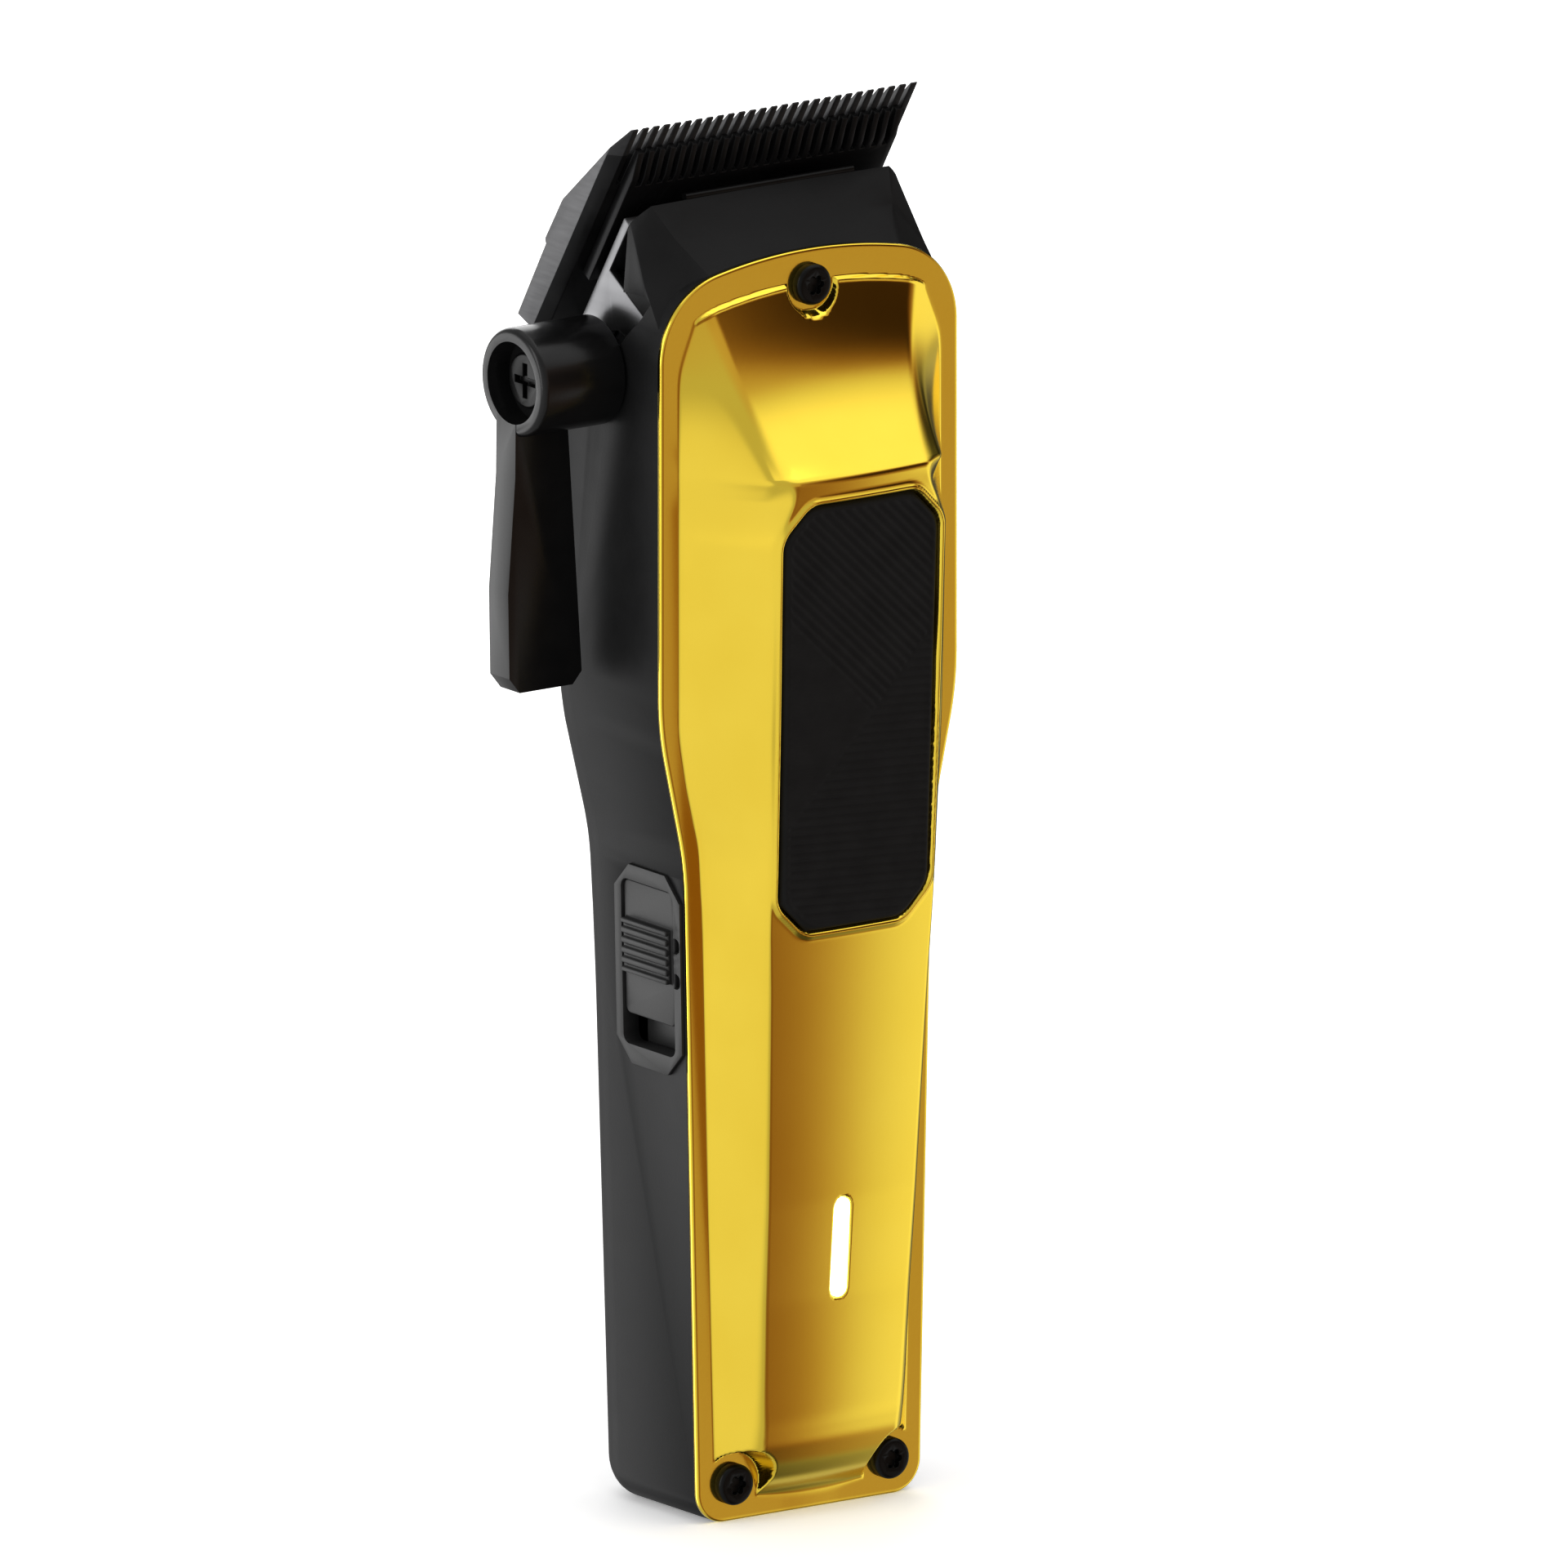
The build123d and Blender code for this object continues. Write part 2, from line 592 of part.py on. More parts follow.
def drive_fork():
    """Arm that carries the motor pin's swing up to the cutter."""
    low = CUTTER_UNDERSIDE
    foot_z = PIN_Z + 1.5
    front = AXIS_DEPTH - DRIVE_PIN_R - CUTTER_SWING - 0.3 - FORK_THICK
    back = front + FORK_THICK
    arm = box((-FORK_ARM_W / 2, FORK_ARM_W / 2), (front, back), (foot_z, FORK_TOP_Z))
    grip = (SOCKET_ALONG[0] + 1.1, SOCKET_ALONG[1] - 1.1)
    half = SOCKET_HALF_W - SOCKET_WALL - 0.1
    neck = wedge((-half, half), [
        blade_point(grip[0], low - 1.0),
        blade_point(grip[1], low - 1.0),
        blade_point(grip[1], low - FORK_SOCKET_DEPTH - 1.25),
        (back, FORK_TOP_Z - 6),
        (front, FORK_TOP_Z - 6),
        (front, FORK_TOP_Z),
    ])
    plate = box((-FORK_W / 2, FORK_W / 2), (front, AXIS_DEPTH + 5.0), (foot_z, foot_z + FORK_THICK))
    slot = DRIVE_PIN_R + 2 * CUTTER_SWING + 0.25
    plate -= box((-slot, slot), (back, AXIS_DEPTH + 6.0), (foot_z - 1, foot_z + FORK_THICK + 1))
    return arm + neck + plate


def cheek_block(gap, top):
    """Space of the bracket's side cheek over its travel, grown by a gap."""
    x = (-BRACKET_HALF_W - gap, -BRACKET_HALF_W + CHEEK_THICK + gap)
    return blade_box(x, (CHEEK_START - gap, BRACKET_END + BLADE_TRAVEL + gap), (-CHEEK_DROP - gap, -top))


def blade_bracket():
    """Steel bracket under the outer blade: a sliding plate, two feet and a cheek at the lever."""
    low = -SEAM_GAP + 0.1
    top = low + BRACKET_THICK
    length = (BRACKET_START, BRACKET_END)
    plate = blade_box((-BRACKET_HALF_W, BRACKET_HALF_W), length, (low, top))
    half, end = BRACKET_WINDOW
    plate -= blade_box((-half, half), (BRACKET_START - 1, end), (-20, 0))
    for side in (-1, 1):
        x = side * BLADE_SCREW_X
        feet = (x - BRACKET_FOOT_W / 2, x + BRACKET_FOOT_W / 2)
        plate += blade_box(feet, (BRACKET_FOOT_START, BLADE_LENGTH), (top, 0))
        plate -= BLADE * Pos(x, BLADE_SCREW_ALONG, 0) * Cylinder(BLADE_SCREW_R + RUN_GAP, 30)
    wall = (-BRACKET_HALF_W, -BRACKET_HALF_W + CHEEK_THICK)
    cheek = blade_box(wall, (CHEEK_START, BRACKET_END), (-CHEEK_DROP, low))
    cheek &= box((-30, 0), (FLANGE + 0.8, 60), (100, 200))
    pivot_along, pivot_above = lever_in_blade()
    room = LEVER_SHAFT_R + 0.3
    travel = (pivot_along - BLADE_TRAVEL, pivot_along)
    shaft_slot = blade_box((-40, 0), travel, (pivot_above - room, pivot_above + room))
    for along in travel:
        shaft_slot += BLADE * Pos(-20, along, pivot_above) * Rot(0, 90, 0) * Cylinder(room, 40)
    pin_along = pivot_along - CRANK_R * math.sin(math.radians(LEVER_SWING / 2))
    reach = CRANK_PIN_R + 0.12
    depth = (pivot_above - CRANK_R - 1.8, pivot_above - room + 0.1)
    pin_slot = blade_box((-40, 0), (pin_along - reach, pin_along + reach), depth)
    return plate + cheek - shaft_slot - pin_slot


def lever_in_blade():
    """Lever axis as a distance down the blade and above its sliding plane."""
    back = LEVER_DEPTH - TIP_DEPTH
    down = LEVER_Z - TIP_Z
    return (
        back * math.sin(LEAN) - down * math.cos(LEAN),
        back * math.cos(LEAN) + down * math.sin(LEAN),
    )


# Taper lever

def taper_lever():
    """Lever knob with its thumb arm hanging down beside the casing."""
    axis = (LEVER_DEPTH, LEVER_Z)
    hub = rod("X", HUB_R, (HUB_OUTER_X, HUB_INNER_X), axis)
    outer_rim = [e for e in hub.edges() if abs(e.center().X - HUB_OUTER_X) < 0.01]
    hub = fillet(outer_rim, HUB_EDGE_R)
    hub += rod("X", HUB_NECK_R, (HUB_INNER_X, HUB_NECK_X), axis)
    arm = extrude(Plane.XZ * make_face(Polyline(*ARM_OUTLINE, close=True)), amount=ARM_W, dir=(0, 1, 0))
    lever = hub + Pos(0, LEVER_DEPTH - ARM_FRONT, 0) * arm
    lever -= rod("X", HUB_RECESS_R, (HUB_OUTER_X - 1, HUB_OUTER_X + HUB_RECESS), axis)
    return lever - rod("X", LEVER_SHAFT_R + RUN_GAP, (HUB_OUTER_X, HUB_NECK_X + 1), axis)


def lever_screw():
    """Screw in the lever's recess, with a cross slot."""
    axis = (LEVER_DEPTH, LEVER_Z)
    seat = HUB_OUTER_X + HUB_RECESS
    face = seat - LEVER_SCREW_HEAD
    head = rod("X", LEVER_SCREW_R, (face, seat), axis)
    rim = [e for e in head.edges() if abs(e.center().X - face) < 0.01]
    head = fillet(rim, 0.4)
    for depth, tall in ((2.2, 0.45), (0.45, 2.2)):
        slot = Box(2 * SCREW_SLOT_DEPTH, 2 * depth, 2 * tall)
        head -= Pos(face, *axis) * slot
    return head


def lever_shaft():
    """Shaft through the casing with a crank disc and pin that push the blade bracket."""
    axis = (LEVER_DEPTH, LEVER_Z)
    disc_x = -BRACKET_HALF_W + CHEEK_THICK + 0.25
    shaft = rod("X", LEVER_SHAFT_R, (HUB_OUTER_X + HUB_RECESS, SUPPORT_X[1] - 0.3), axis)
    shaft += rod("X", CRANK_R + CRANK_PIN_R, (disc_x, disc_x + CRANK_THICK), axis)
    along, above = lever_in_blade()
    lag = math.radians(LEVER_SWING / 2)
    pin = blade_point(along - CRANK_R * math.sin(lag), above - CRANK_R * math.cos(lag))
    return shaft + rod("X", CRANK_PIN_R, (-BRACKET_HALF_W + 0.1, disc_x + 0.5), pin)


def lever_support():
    """Inner arm, fixed to the casing's side, that holds the inner end of the lever shaft."""
    low, foot_top, top = SUPPORT_Z
    arm = below_seam(box(SUPPORT_X, SUPPORT_DEPTH, (foot_top - 2, top)), SEAM_GAP + SEAM_WALL + 0.1)
    foot = box((-SHOULDER_HALF_W + WALL, SUPPORT_X[1]), SUPPORT_DEPTH, (low, foot_top))
    return arm + foot - rod("X", LEVER_SHAFT_R + RUN_GAP, (-40, 0), (LEVER_DEPTH, LEVER_Z))


# Power switch

def side_frame():
    """Frame on the left wall: local x towards the lid, local y up the wall, local z outwards."""
    wall = Plane(
        origin=(-casing_half_width(SWITCH_Z), SWITCH_DEPTH, SWITCH_Z),
        x_dir=(0, -1, 0),
        z_dir=(-math.cos(SIDE_SLOPE), 0, -math.sin(SIDE_SLOPE)),
    )
    return wall.location


def prism_octagon(width, length, low, high):
    """Octagonal block with cut corners, centred on its frame."""
    half = (width / 2, length / 2)
    quarter = [(half[0], half[1] - BEZEL_CUT), (half[0] - BEZEL_CUT, half[1])]
    points = quarter + [(-x, y) for x, y in reversed(quarter)]
    points += [(-x, -y) for x, y in points]
    outline = make_face(Polyline(*points, close=True))
    return Pos(0, 0, low) * extrude(outline, amount=high - low, dir=(0, 0, 1))


def switch_bezel():
    """Frame round the power switch, let into the casing's wall."""
    frame = prism_octagon(BEZEL_W, BEZEL_LENGTH, -WALL, BEZEL_PROUD)
    slot = Pos(0, SWITCH_SLOT_SHIFT, -1) * Box(SWITCH_SLOT_W, SWITCH_SLOT_LENGTH, 8)
    frame -= fillet(slot.edges().filter_by(Axis.Z), 1.2)
    for y in (4.2, -0.4):
        frame -= Pos(SWITCH_SLOT_W / 2 + 0.4, y, BEZEL_PROUD) * Cylinder(1.0, 1.6)
    return side_frame() * frame


def switch_slider():
    """Sliding power button with a ridged thumb grip, and the tongue that works the switch."""
    width = SWITCH_SLOT_W - 2 * SLIDER_SIDE_GAP
    button = Pos(0, SLIDER_Y, -0.55) * Box(width, SLIDER_LENGTH, SLIDER_THICK)
    button = fillet(button.edges().filter_by(Axis.Z), 1.0)
    grip = Pos(0, GRIP_Y, 0.45) * Box(width - 1.0, GRIP_LENGTH, SLIDER_THICK)
    for index in range(5):
        grip -= Pos(0, GRIP_Y + (index - 2) * GRIP_PITCH, 1.1) * Box(width, 0.5, 0.8)
    tongue = Pos(0, SLIDER_Y, -1.1 - TONGUE[2] / 2) * Box(*TONGUE)
    return side_frame() * (button + grip + tongue)


def switch_body():
    """Slide switch behind the button, with a slot for the button's tongue."""
    centre = SLIDER_Y - SWITCH_TRAVEL / 2
    body = Pos(0, centre, -5.75) * Box(SWITCH_BODY_W, SWITCH_BODY_LENGTH, 4.3)
    body -= Pos(0, centre, -4.9) * Box(TONGUE[0] + 0.6, TONGUE[1] + SWITCH_TRAVEL + 0.8, 3.2)
    ears = Pos(0, centre, -3.1) * Box(SWITCH_BODY_W, SWITCH_EAR_LENGTH, 1.0)
    ears -= Pos(0, centre, -3.1) * Box(SWITCH_BODY_W - 3, SWITCH_BODY_LENGTH - 2, 3.0)
    reach = SWITCH_EAR_LENGTH / 2 - 0.7
    posts = Pos(0, centre + reach, -2.3) * Box(SWITCH_BODY_W, 1.4, 0.6)
    posts += Pos(0, centre - reach, -2.3) * Box(SWITCH_BODY_W, 1.4, 0.6)
    return side_frame() * (body + ears + posts)


# Power pieces

def battery_cell():
    """Round lithium cell standing along the handle."""
    cell = rod("Z", CELL_R, (CELL_FOOT_Z, CELL_FOOT_Z + CELL_LENGTH), (0, AXIS_DEPTH))
    rims = [e for e in cell.edges() if e.geom_type == GeomType.CIRCLE]
    return fillet(rims, 0.8)


def battery_contact(low):
    """Spring-steel contact plate across one end of the cell."""
    back = AXIS_DEPTH + CONTACT_REACH
    top = low + CONTACT_THICK
    half, reach = CONTACT_TAB
    plate = box((-CONTACT_HALF_W, CONTACT_HALF_W), (AXIS_DEPTH - CONTACT_REACH, back), (low, top))
    tab = (top - reach, top) if low < CELL_FOOT_Z else (low, low + reach)
    return plate + box((-half, half), (back - CONTACT_THICK, back), tab)


def battery_cradle():
    """Trough that holds the cell against the back wall, closed at both ends."""
    foot = CELL_FOOT_Z - CONTACT_THICK
    top = CELL_FOOT_Z + CELL_LENGTH + CONTACT_THICK
    low = foot - CRADLE_ENDS[0]
    high = top + CRADLE_ENDS[1]
    block = box((-CRADLE_HALF_W, CRADLE_HALF_W), (AXIS_DEPTH - 2, BACK_FOOT - WALL), (low, high))
    block -= rod("Z", CELL_R + RUN_GAP, (foot, top), (0, AXIS_DEPTH))
    block -= box((-CELL_R - RUN_GAP, CELL_R + RUN_GAP), (0, AXIS_DEPTH), (foot, top))
    block -= rod("Z", JACK_BORE_R + JACK_WALL + 0.25, (low - 1, foot), (0, AXIS_DEPTH))
    slot_half = CONTACT_TAB[0] + 0.2
    slot_back = AXIS_DEPTH + CONTACT_REACH
    return block - box((-slot_half, slot_half), (slot_back - 0.7, slot_back + 0.2), (low - 1, high + 1))


def circuit_board():
    """Control board across the front of the cell, inside the lid."""
    board = box((-BOARD_HALF_W, BOARD_HALF_W), BOARD_DEPTH, BOARD_Z)
    return board - rod("Y", 1.2, (-3, 3), (BOARD_HALF_W - 3, BOARD_Z[1] - 4))


def on_board(x, height, z):
    """Box that stands on the front of the board."""
    return box(x, (BOARD_DEPTH[0] - height, BOARD_DEPTH[0]), z)


def board_parts():
    """Charger chip, coil, capacitor and plug on the control board."""
    low = BOARD_Z[0]
    chip = on_board((-3.5, 3.5), 1.2, (low + 34, low + 41))
    coil = on_board((-3, 3), 2.4, (low + 46, low + 52))
    capacitor = rod("Y", 2.5, (BOARD_DEPTH[0] - 1.6, BOARD_DEPTH[0]), (-5.5, low + 12))
    plug = on_board((2, 8), 1.1, (low + 4, low + 9))
    return [chip, coil, capacitor, plug]


def status_led():
    """Light-emitting diode behind the light bar."""
    middle = (LIGHT_FOOT_Z + LIGHT_TOP_Z) / 2
    return on_board((-1.1, 1.1), 1.15, (middle - 1.7, middle + 1.7))


def charging_socket():
    """Round power socket in the foot, open downwards."""
    centre = (0, AXIS_DEPTH)
    radius = JACK_BORE_R + JACK_WALL
    barrel = rod("Z", radius, (0, JACK_LENGTH), centre)
    collar = rod("Z", radius + 0.7, (WALL, WALL + 2.2), centre)
    barrel += collar & box((-9, 9), (0, AXIS_DEPTH + radius), (0, 9))
    barrel -= rod("Z", JACK_BORE_R, (-1, JACK_MOUTH), centre)
    return barrel - rod("Z", JACK_INNER_R, (JACK_MOUTH, JACK_LENGTH - 1.0), centre)


def charging_pin():
    """Centre pin of the power socket."""
    return rod("Z", JACK_PIN_R, (JACK_MOUTH + 0.4, JACK_LENGTH - 1.0), (0, AXIS_DEPTH))


# Motor and drive

def motor_can():
    """Steel can of the motor, closed at the top round its nose."""
    can = rod("Z", MOTOR_R, (MOTOR_FOOT_Z, MOTOR_TOP_Z), (0, AXIS_DEPTH))
    can += rod("Z", MOTOR_NOSE_R, (MOTOR_TOP_Z, MOTOR_TOP_Z + MOTOR_NOSE_H), (0, AXIS_DEPTH))
    can -= rod("Z", MOTOR_R - MOTOR_WALL, (MOTOR_FOOT_Z - 1, MOTOR_TOP_Z - 1.2), (0, AXIS_DEPTH))
    return can - rod("Z", MOTOR_SHAFT_R + RUN_GAP, (MOTOR_FOOT_Z, MOTOR_TOP_Z + 3), (0, AXIS_DEPTH))


def motor_end_cap():
    """Moulded cap that closes the motor's lower end."""
    cap = rod("Z", MOTOR_R - MOTOR_WALL, (MOTOR_FOOT_Z, MOTOR_FOOT_Z + END_CAP_H), (0, AXIS_DEPTH))
    return cap - rod("Z", MOTOR_SHAFT_R + RUN_GAP, (MOTOR_FOOT_Z + 1.0, MOTOR_FOOT_Z + 4), (0, AXIS_DEPTH))


def motor_terminals():
    """Two solder tags under the motor."""
    depth = (AXIS_DEPTH - 0.25, AXIS_DEPTH + 0.25)
    height = (MOTOR_FOOT_Z - 3, MOTOR_FOOT_Z)
    return [box((x - 1, x + 1), depth, height) for x in (-5.0, 5.0)]


def motor_rotor():
    """Wound core and shaft that turn inside the can."""
    core_r = MOTOR_R - MOTOR_WALL - ROTOR_GAP
    core = rod("Z", core_r, (MOTOR_FOOT_Z + END_CAP_H + 2, MOTOR_TOP_Z - 4), (0, AXIS_DEPTH))
    shaft_z = (MOTOR_FOOT_Z + 1.2, ECCENTRIC_Z + ECCENTRIC_BORE)
    return core + rod("Z", MOTOR_SHAFT_R, shaft_z, (0, AXIS_DEPTH))


def eccentric():
    """Hub on the motor shaft, cut away to balance its offset drive pin."""
    low = ECCENTRIC_Z
    hub = rod("Z", ECCENTRIC_R, (low, PIN_Z), (0, AXIS_DEPTH))
    side = AXIS_DEPTH + 0.6 * ECCENTRIC_R
    hub -= box((-ECCENTRIC_R, ECCENTRIC_R), (side, side + ECCENTRIC_R), (low, PIN_Z - 2))
    return hub - rod("Z", MOTOR_SHAFT_R, (low - 1, low + ECCENTRIC_BORE), (0, AXIS_DEPTH))


def drive_pin():
    """Steel pin set off the motor's axis."""
    return rod("Z", DRIVE_PIN_R, (PIN_Z, PIN_Z + DRIVE_PIN_H), (0, AXIS_DEPTH + CUTTER_SWING))


def motor_mount():
    """Plate that holds the motor to the casing's walls."""
    half = SHOULDER_HALF_W - WALL
    depth = (AXIS_DEPTH - 8.5, AXIS_DEPTH + 6.9)
    plate = box((-half, half), depth, (MOTOR_TOP_Z, MOTOR_TOP_Z + MOUNT_THICK))
    return plate - rod("Z", MOTOR_NOSE_R + RUN_GAP, (MOTOR_TOP_Z - 1, MOTOR_TOP_Z + 3), (0, AXIS_DEPTH))


def motor_mount_screws():
    """Two screws that hold the motor to its mounting plate."""
    low = MOTOR_TOP_Z + MOUNT_THICK
    return [rod("Z", 1.4, (low, low + 1.0), (x, AXIS_DEPTH)) for x in (-6.5, 6.5)]


def motor_damper():
    """Rubber ring between the motor's foot and the casing."""
    back = BACK_WAIST - WALL
    ring = rod("Z", back - AXIS_DEPTH + 1.5, (MOTOR_FOOT_Z + 2, MOTOR_FOOT_Z + 8), (0, AXIS_DEPTH))
    ring &= box((-20, 20), (0.8, back), (MOTOR_FOOT_Z, MOTOR_FOOT_Z + 10))
    return ring - rod("Z", MOTOR_R, (MOTOR_FOOT_Z, MOTOR_FOOT_Z + 10), (0, AXIS_DEPTH))


def tension_spring():
    """Bent wire that presses the cutter's saddle towards the outer blade."""
    level = -SEAM_GAP + SPRING_R
    half, start, end = SPRING_PLAN
    bar = BLADE * Pos(0, start, level) * Rot(0, 90, 0) * Cylinder(SPRING_R, 2 * half)
    for side in (-1, 1):
        leg = Cylinder(SPRING_R, end - start)
        bar += BLADE * Pos(side * SPRING_LEG_X, (start + end) / 2, level) * Rot(90, 0, 0) * leg
    return bar


def save(name, solids):
    """Write one node, moved so that the origin is the middle of the foot."""
    pieces = solids if isinstance(solids, list) else [solids]
    parts = [solid.moved(Location((0, -AXIS_DEPTH, 0))) for piece in pieces for solid in piece.solids()]
    export_step(parts[0] if len(parts) == 1 else Compound(children=parts), f"parts/{name}.step")


def main():
    """Build every node."""
    os.makedirs("parts", exist_ok=True)
    save("housing", housing())
    save("lid", lid())
    save("thumb_pad", thumb_pad())
    save("light_bar", light_bar())
    save("lid_screws", lid_screws())
    save("fixed_blade", fixed_blade())
    save("blade_screws", blade_screws())
    save("blade_bracket", blade_bracket())
    save("cutter_blade", cutter_blade())
    save("cutter_guide", cutter_guide())
    save("drive_fork", drive_fork())
    save("tension_spring", tension_spring())
    save("taper_lever", taper_lever())
    save("lever_screw", lever_screw())
    save("lever_shaft", lever_shaft())
    save("lever_support", lever_support())
    save("switch_bezel", switch_bezel())
    save("switch_slider", switch_slider())
    save("switch_body", switch_body())
    save("battery_cell", battery_cell())
    save("battery_contact_foot", battery_contact(CELL_FOOT_Z - 0.5))
    save("battery_contact_top", battery_contact(CELL_FOOT_Z + CELL_LENGTH))
    save("battery_cradle", battery_cradle())
    save("circuit_board", circuit_board())
    save("board_parts", board_parts())
    save("status_led", status_led())
    save("charging_socket", charging_socket())
    save("charging_pin", charging_pin())
    save("motor_can", motor_can())
    save("motor_end_cap", motor_end_cap())
    save("motor_terminals", motor_terminals())
    save("motor_rotor", motor_rotor())
    save("eccentric", eccentric())
    save("drive_pin", drive_pin())
    save("motor_mount", motor_mount())
    save("motor_mount_screws", motor_mount_screws())
    save("motor_damper", motor_damper())


main()
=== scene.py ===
import math

import bmesh
import bpy
import numpy as np
from mathutils import Matrix, Vector


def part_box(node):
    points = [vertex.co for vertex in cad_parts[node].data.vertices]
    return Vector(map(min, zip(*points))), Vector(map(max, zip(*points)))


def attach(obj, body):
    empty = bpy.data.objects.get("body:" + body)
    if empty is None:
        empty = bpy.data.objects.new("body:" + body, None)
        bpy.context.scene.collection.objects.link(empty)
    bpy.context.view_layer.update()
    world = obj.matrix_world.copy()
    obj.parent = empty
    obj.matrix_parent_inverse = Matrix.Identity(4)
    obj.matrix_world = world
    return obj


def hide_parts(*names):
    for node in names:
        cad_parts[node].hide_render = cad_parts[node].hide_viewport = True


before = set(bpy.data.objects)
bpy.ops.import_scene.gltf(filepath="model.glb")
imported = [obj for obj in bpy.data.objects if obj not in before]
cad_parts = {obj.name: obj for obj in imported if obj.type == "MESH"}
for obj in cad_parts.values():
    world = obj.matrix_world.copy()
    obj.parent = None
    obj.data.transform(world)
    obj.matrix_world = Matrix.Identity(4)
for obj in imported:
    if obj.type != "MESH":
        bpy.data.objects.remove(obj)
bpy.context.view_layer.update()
MM = 0.001

# ---------------------------------------------------------------- frame values, in millimetres
lid_low, lid_high = [Vector(corner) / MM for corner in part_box("lid")]
pad_low, pad_high = [Vector(corner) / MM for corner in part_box("thumb_pad")]
light_low, light_high = [Vector(corner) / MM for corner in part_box("light_bar")]
screws_low, screws_high = [Vector(corner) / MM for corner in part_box("lid_screws")]

FLANGE = 0.7
RIM_Y = lid_high.y - FLANGE
SHOULDER = lid_high.x
CROWN_Z = lid_high.z
CROWN_ARC_R = 69.8
CROWN_CORNER_R = 11.0
FOOT_CORNER_R = 4.2
FOOT_HALF_W = 17.2
WAIST_HALF_W = 19.1
WAIST_Z = 86.0
SHOULDER_Z = 104.0
SCREW_HEAD_R = 2.65
FOOT_SCREW_X = screws_high.x - SCREW_HEAD_R
FOOT_SCREW_Z = screws_low.z + SCREW_HEAD_R
CROWN_SCREW_Z = screws_high.z - SCREW_HEAD_R


# ---------------------------------------------------------------- camera, in metres
VIEW_TURN = math.radians(35.5)
VIEW_TILT = math.radians(13.8)
FRAME_WIDTH = 0.1979
FRAME_RIGHT = -0.0032
FRAME_UP = 0.0913
RIM_TO_ORIGIN = 0.0125


def add_camera():
    """Parallel camera at the viewing angle, to the clipper's left front and a little above it."""
    back = Vector((
        -math.sin(VIEW_TURN) * math.cos(VIEW_TILT),
        -math.cos(VIEW_TURN) * math.cos(VIEW_TILT),
        math.sin(VIEW_TILT),
    ))
    right = Vector((math.cos(VIEW_TURN), -math.sin(VIEW_TURN), 0))
    up = back.cross(right)
    centre = right * FRAME_RIGHT + up * FRAME_UP - Vector((0, RIM_TO_ORIGIN, 0))
    data = bpy.data.cameras.new("camera")
    data.type = "ORTHO"
    data.ortho_scale = FRAME_WIDTH
    camera = bpy.data.objects.new("camera", data)
    turned = Matrix((right, up, back)).transposed().to_4x4()
    camera.matrix_world = Matrix.Translation(centre + back) @ turned
    bpy.context.collection.objects.link(camera)
    bpy.context.scene.camera = camera


# ---------------------------------------------------------------- light
def direction(turn, tilt):
    """Unit vector towards an azimuth (0 is the clipper's front, positive its right) and elevation."""
    a, e = math.radians(turn), math.radians(tilt)
    return (math.sin(a) * math.cos(e), -math.cos(a) * math.cos(e), math.sin(e))


# Bright and dark areas of the studio round the clipper: azimuth, elevation, full within and gone
# beyond (degrees), strength
SURROUND = [
    (-84, -6, 22, 62, 0.25),
    (76, -20, 22, 44, 0.42),
    (62, 58, 18, 38, 0.52),
    (-144, -14, 10, 32, 2.0),
    (86, 20, 10, 24, -0.55),
    (14, -20, 2, 26, -0.30),
    (44, 6, 9, 23, -0.56),
    (118, -8, 22, 42, -0.50),
    (52, -58, 16, 36, -0.5),
]
SURROUND_LEVEL = 0.62
SURROUND_LEAST = 0.05
# Area of the surround that turns warm, and the strengths at which it is fully warm and not warm
WARM_AREA = (38, -4, 26, 58)
WARM_LEVELS = (0.25, 0.85)
WARM_TINT = (1.0, 0.52, 0.25)


def area(tree, coordinates, turn, tilt, full, gone, strength):
    """Soft round area of the surround."""
    aim = tree.nodes.new("ShaderNodeVectorMath")
    aim.operation = "DOT_PRODUCT"
    aim.inputs[1].default_value = direction(turn, tilt)
    tree.links.new(coordinates, aim.inputs[0])
    fall = tree.nodes.new("ShaderNodeMapRange")
    fall.interpolation_type = "SMOOTHSTEP"
    fall.inputs["From Min"].default_value = math.cos(math.radians(gone))
    fall.inputs["From Max"].default_value = math.cos(math.radians(full))
    fall.inputs["To Max"].default_value = strength
    tree.links.new(aim.outputs["Value"], fall.inputs["Value"])
    return fall.outputs["Result"]


def combine(tree, operation, first, second):
    """Sum, product or other result of two values; a value may be a number."""
    node = tree.nodes.new("ShaderNodeMath")
    node.operation = operation
    for socket, value in zip(node.inputs, (first, second)):
        if isinstance(value, (int, float)):
            socket.default_value = value
        else:
            tree.links.new(value, socket)
    return node.outputs[0]


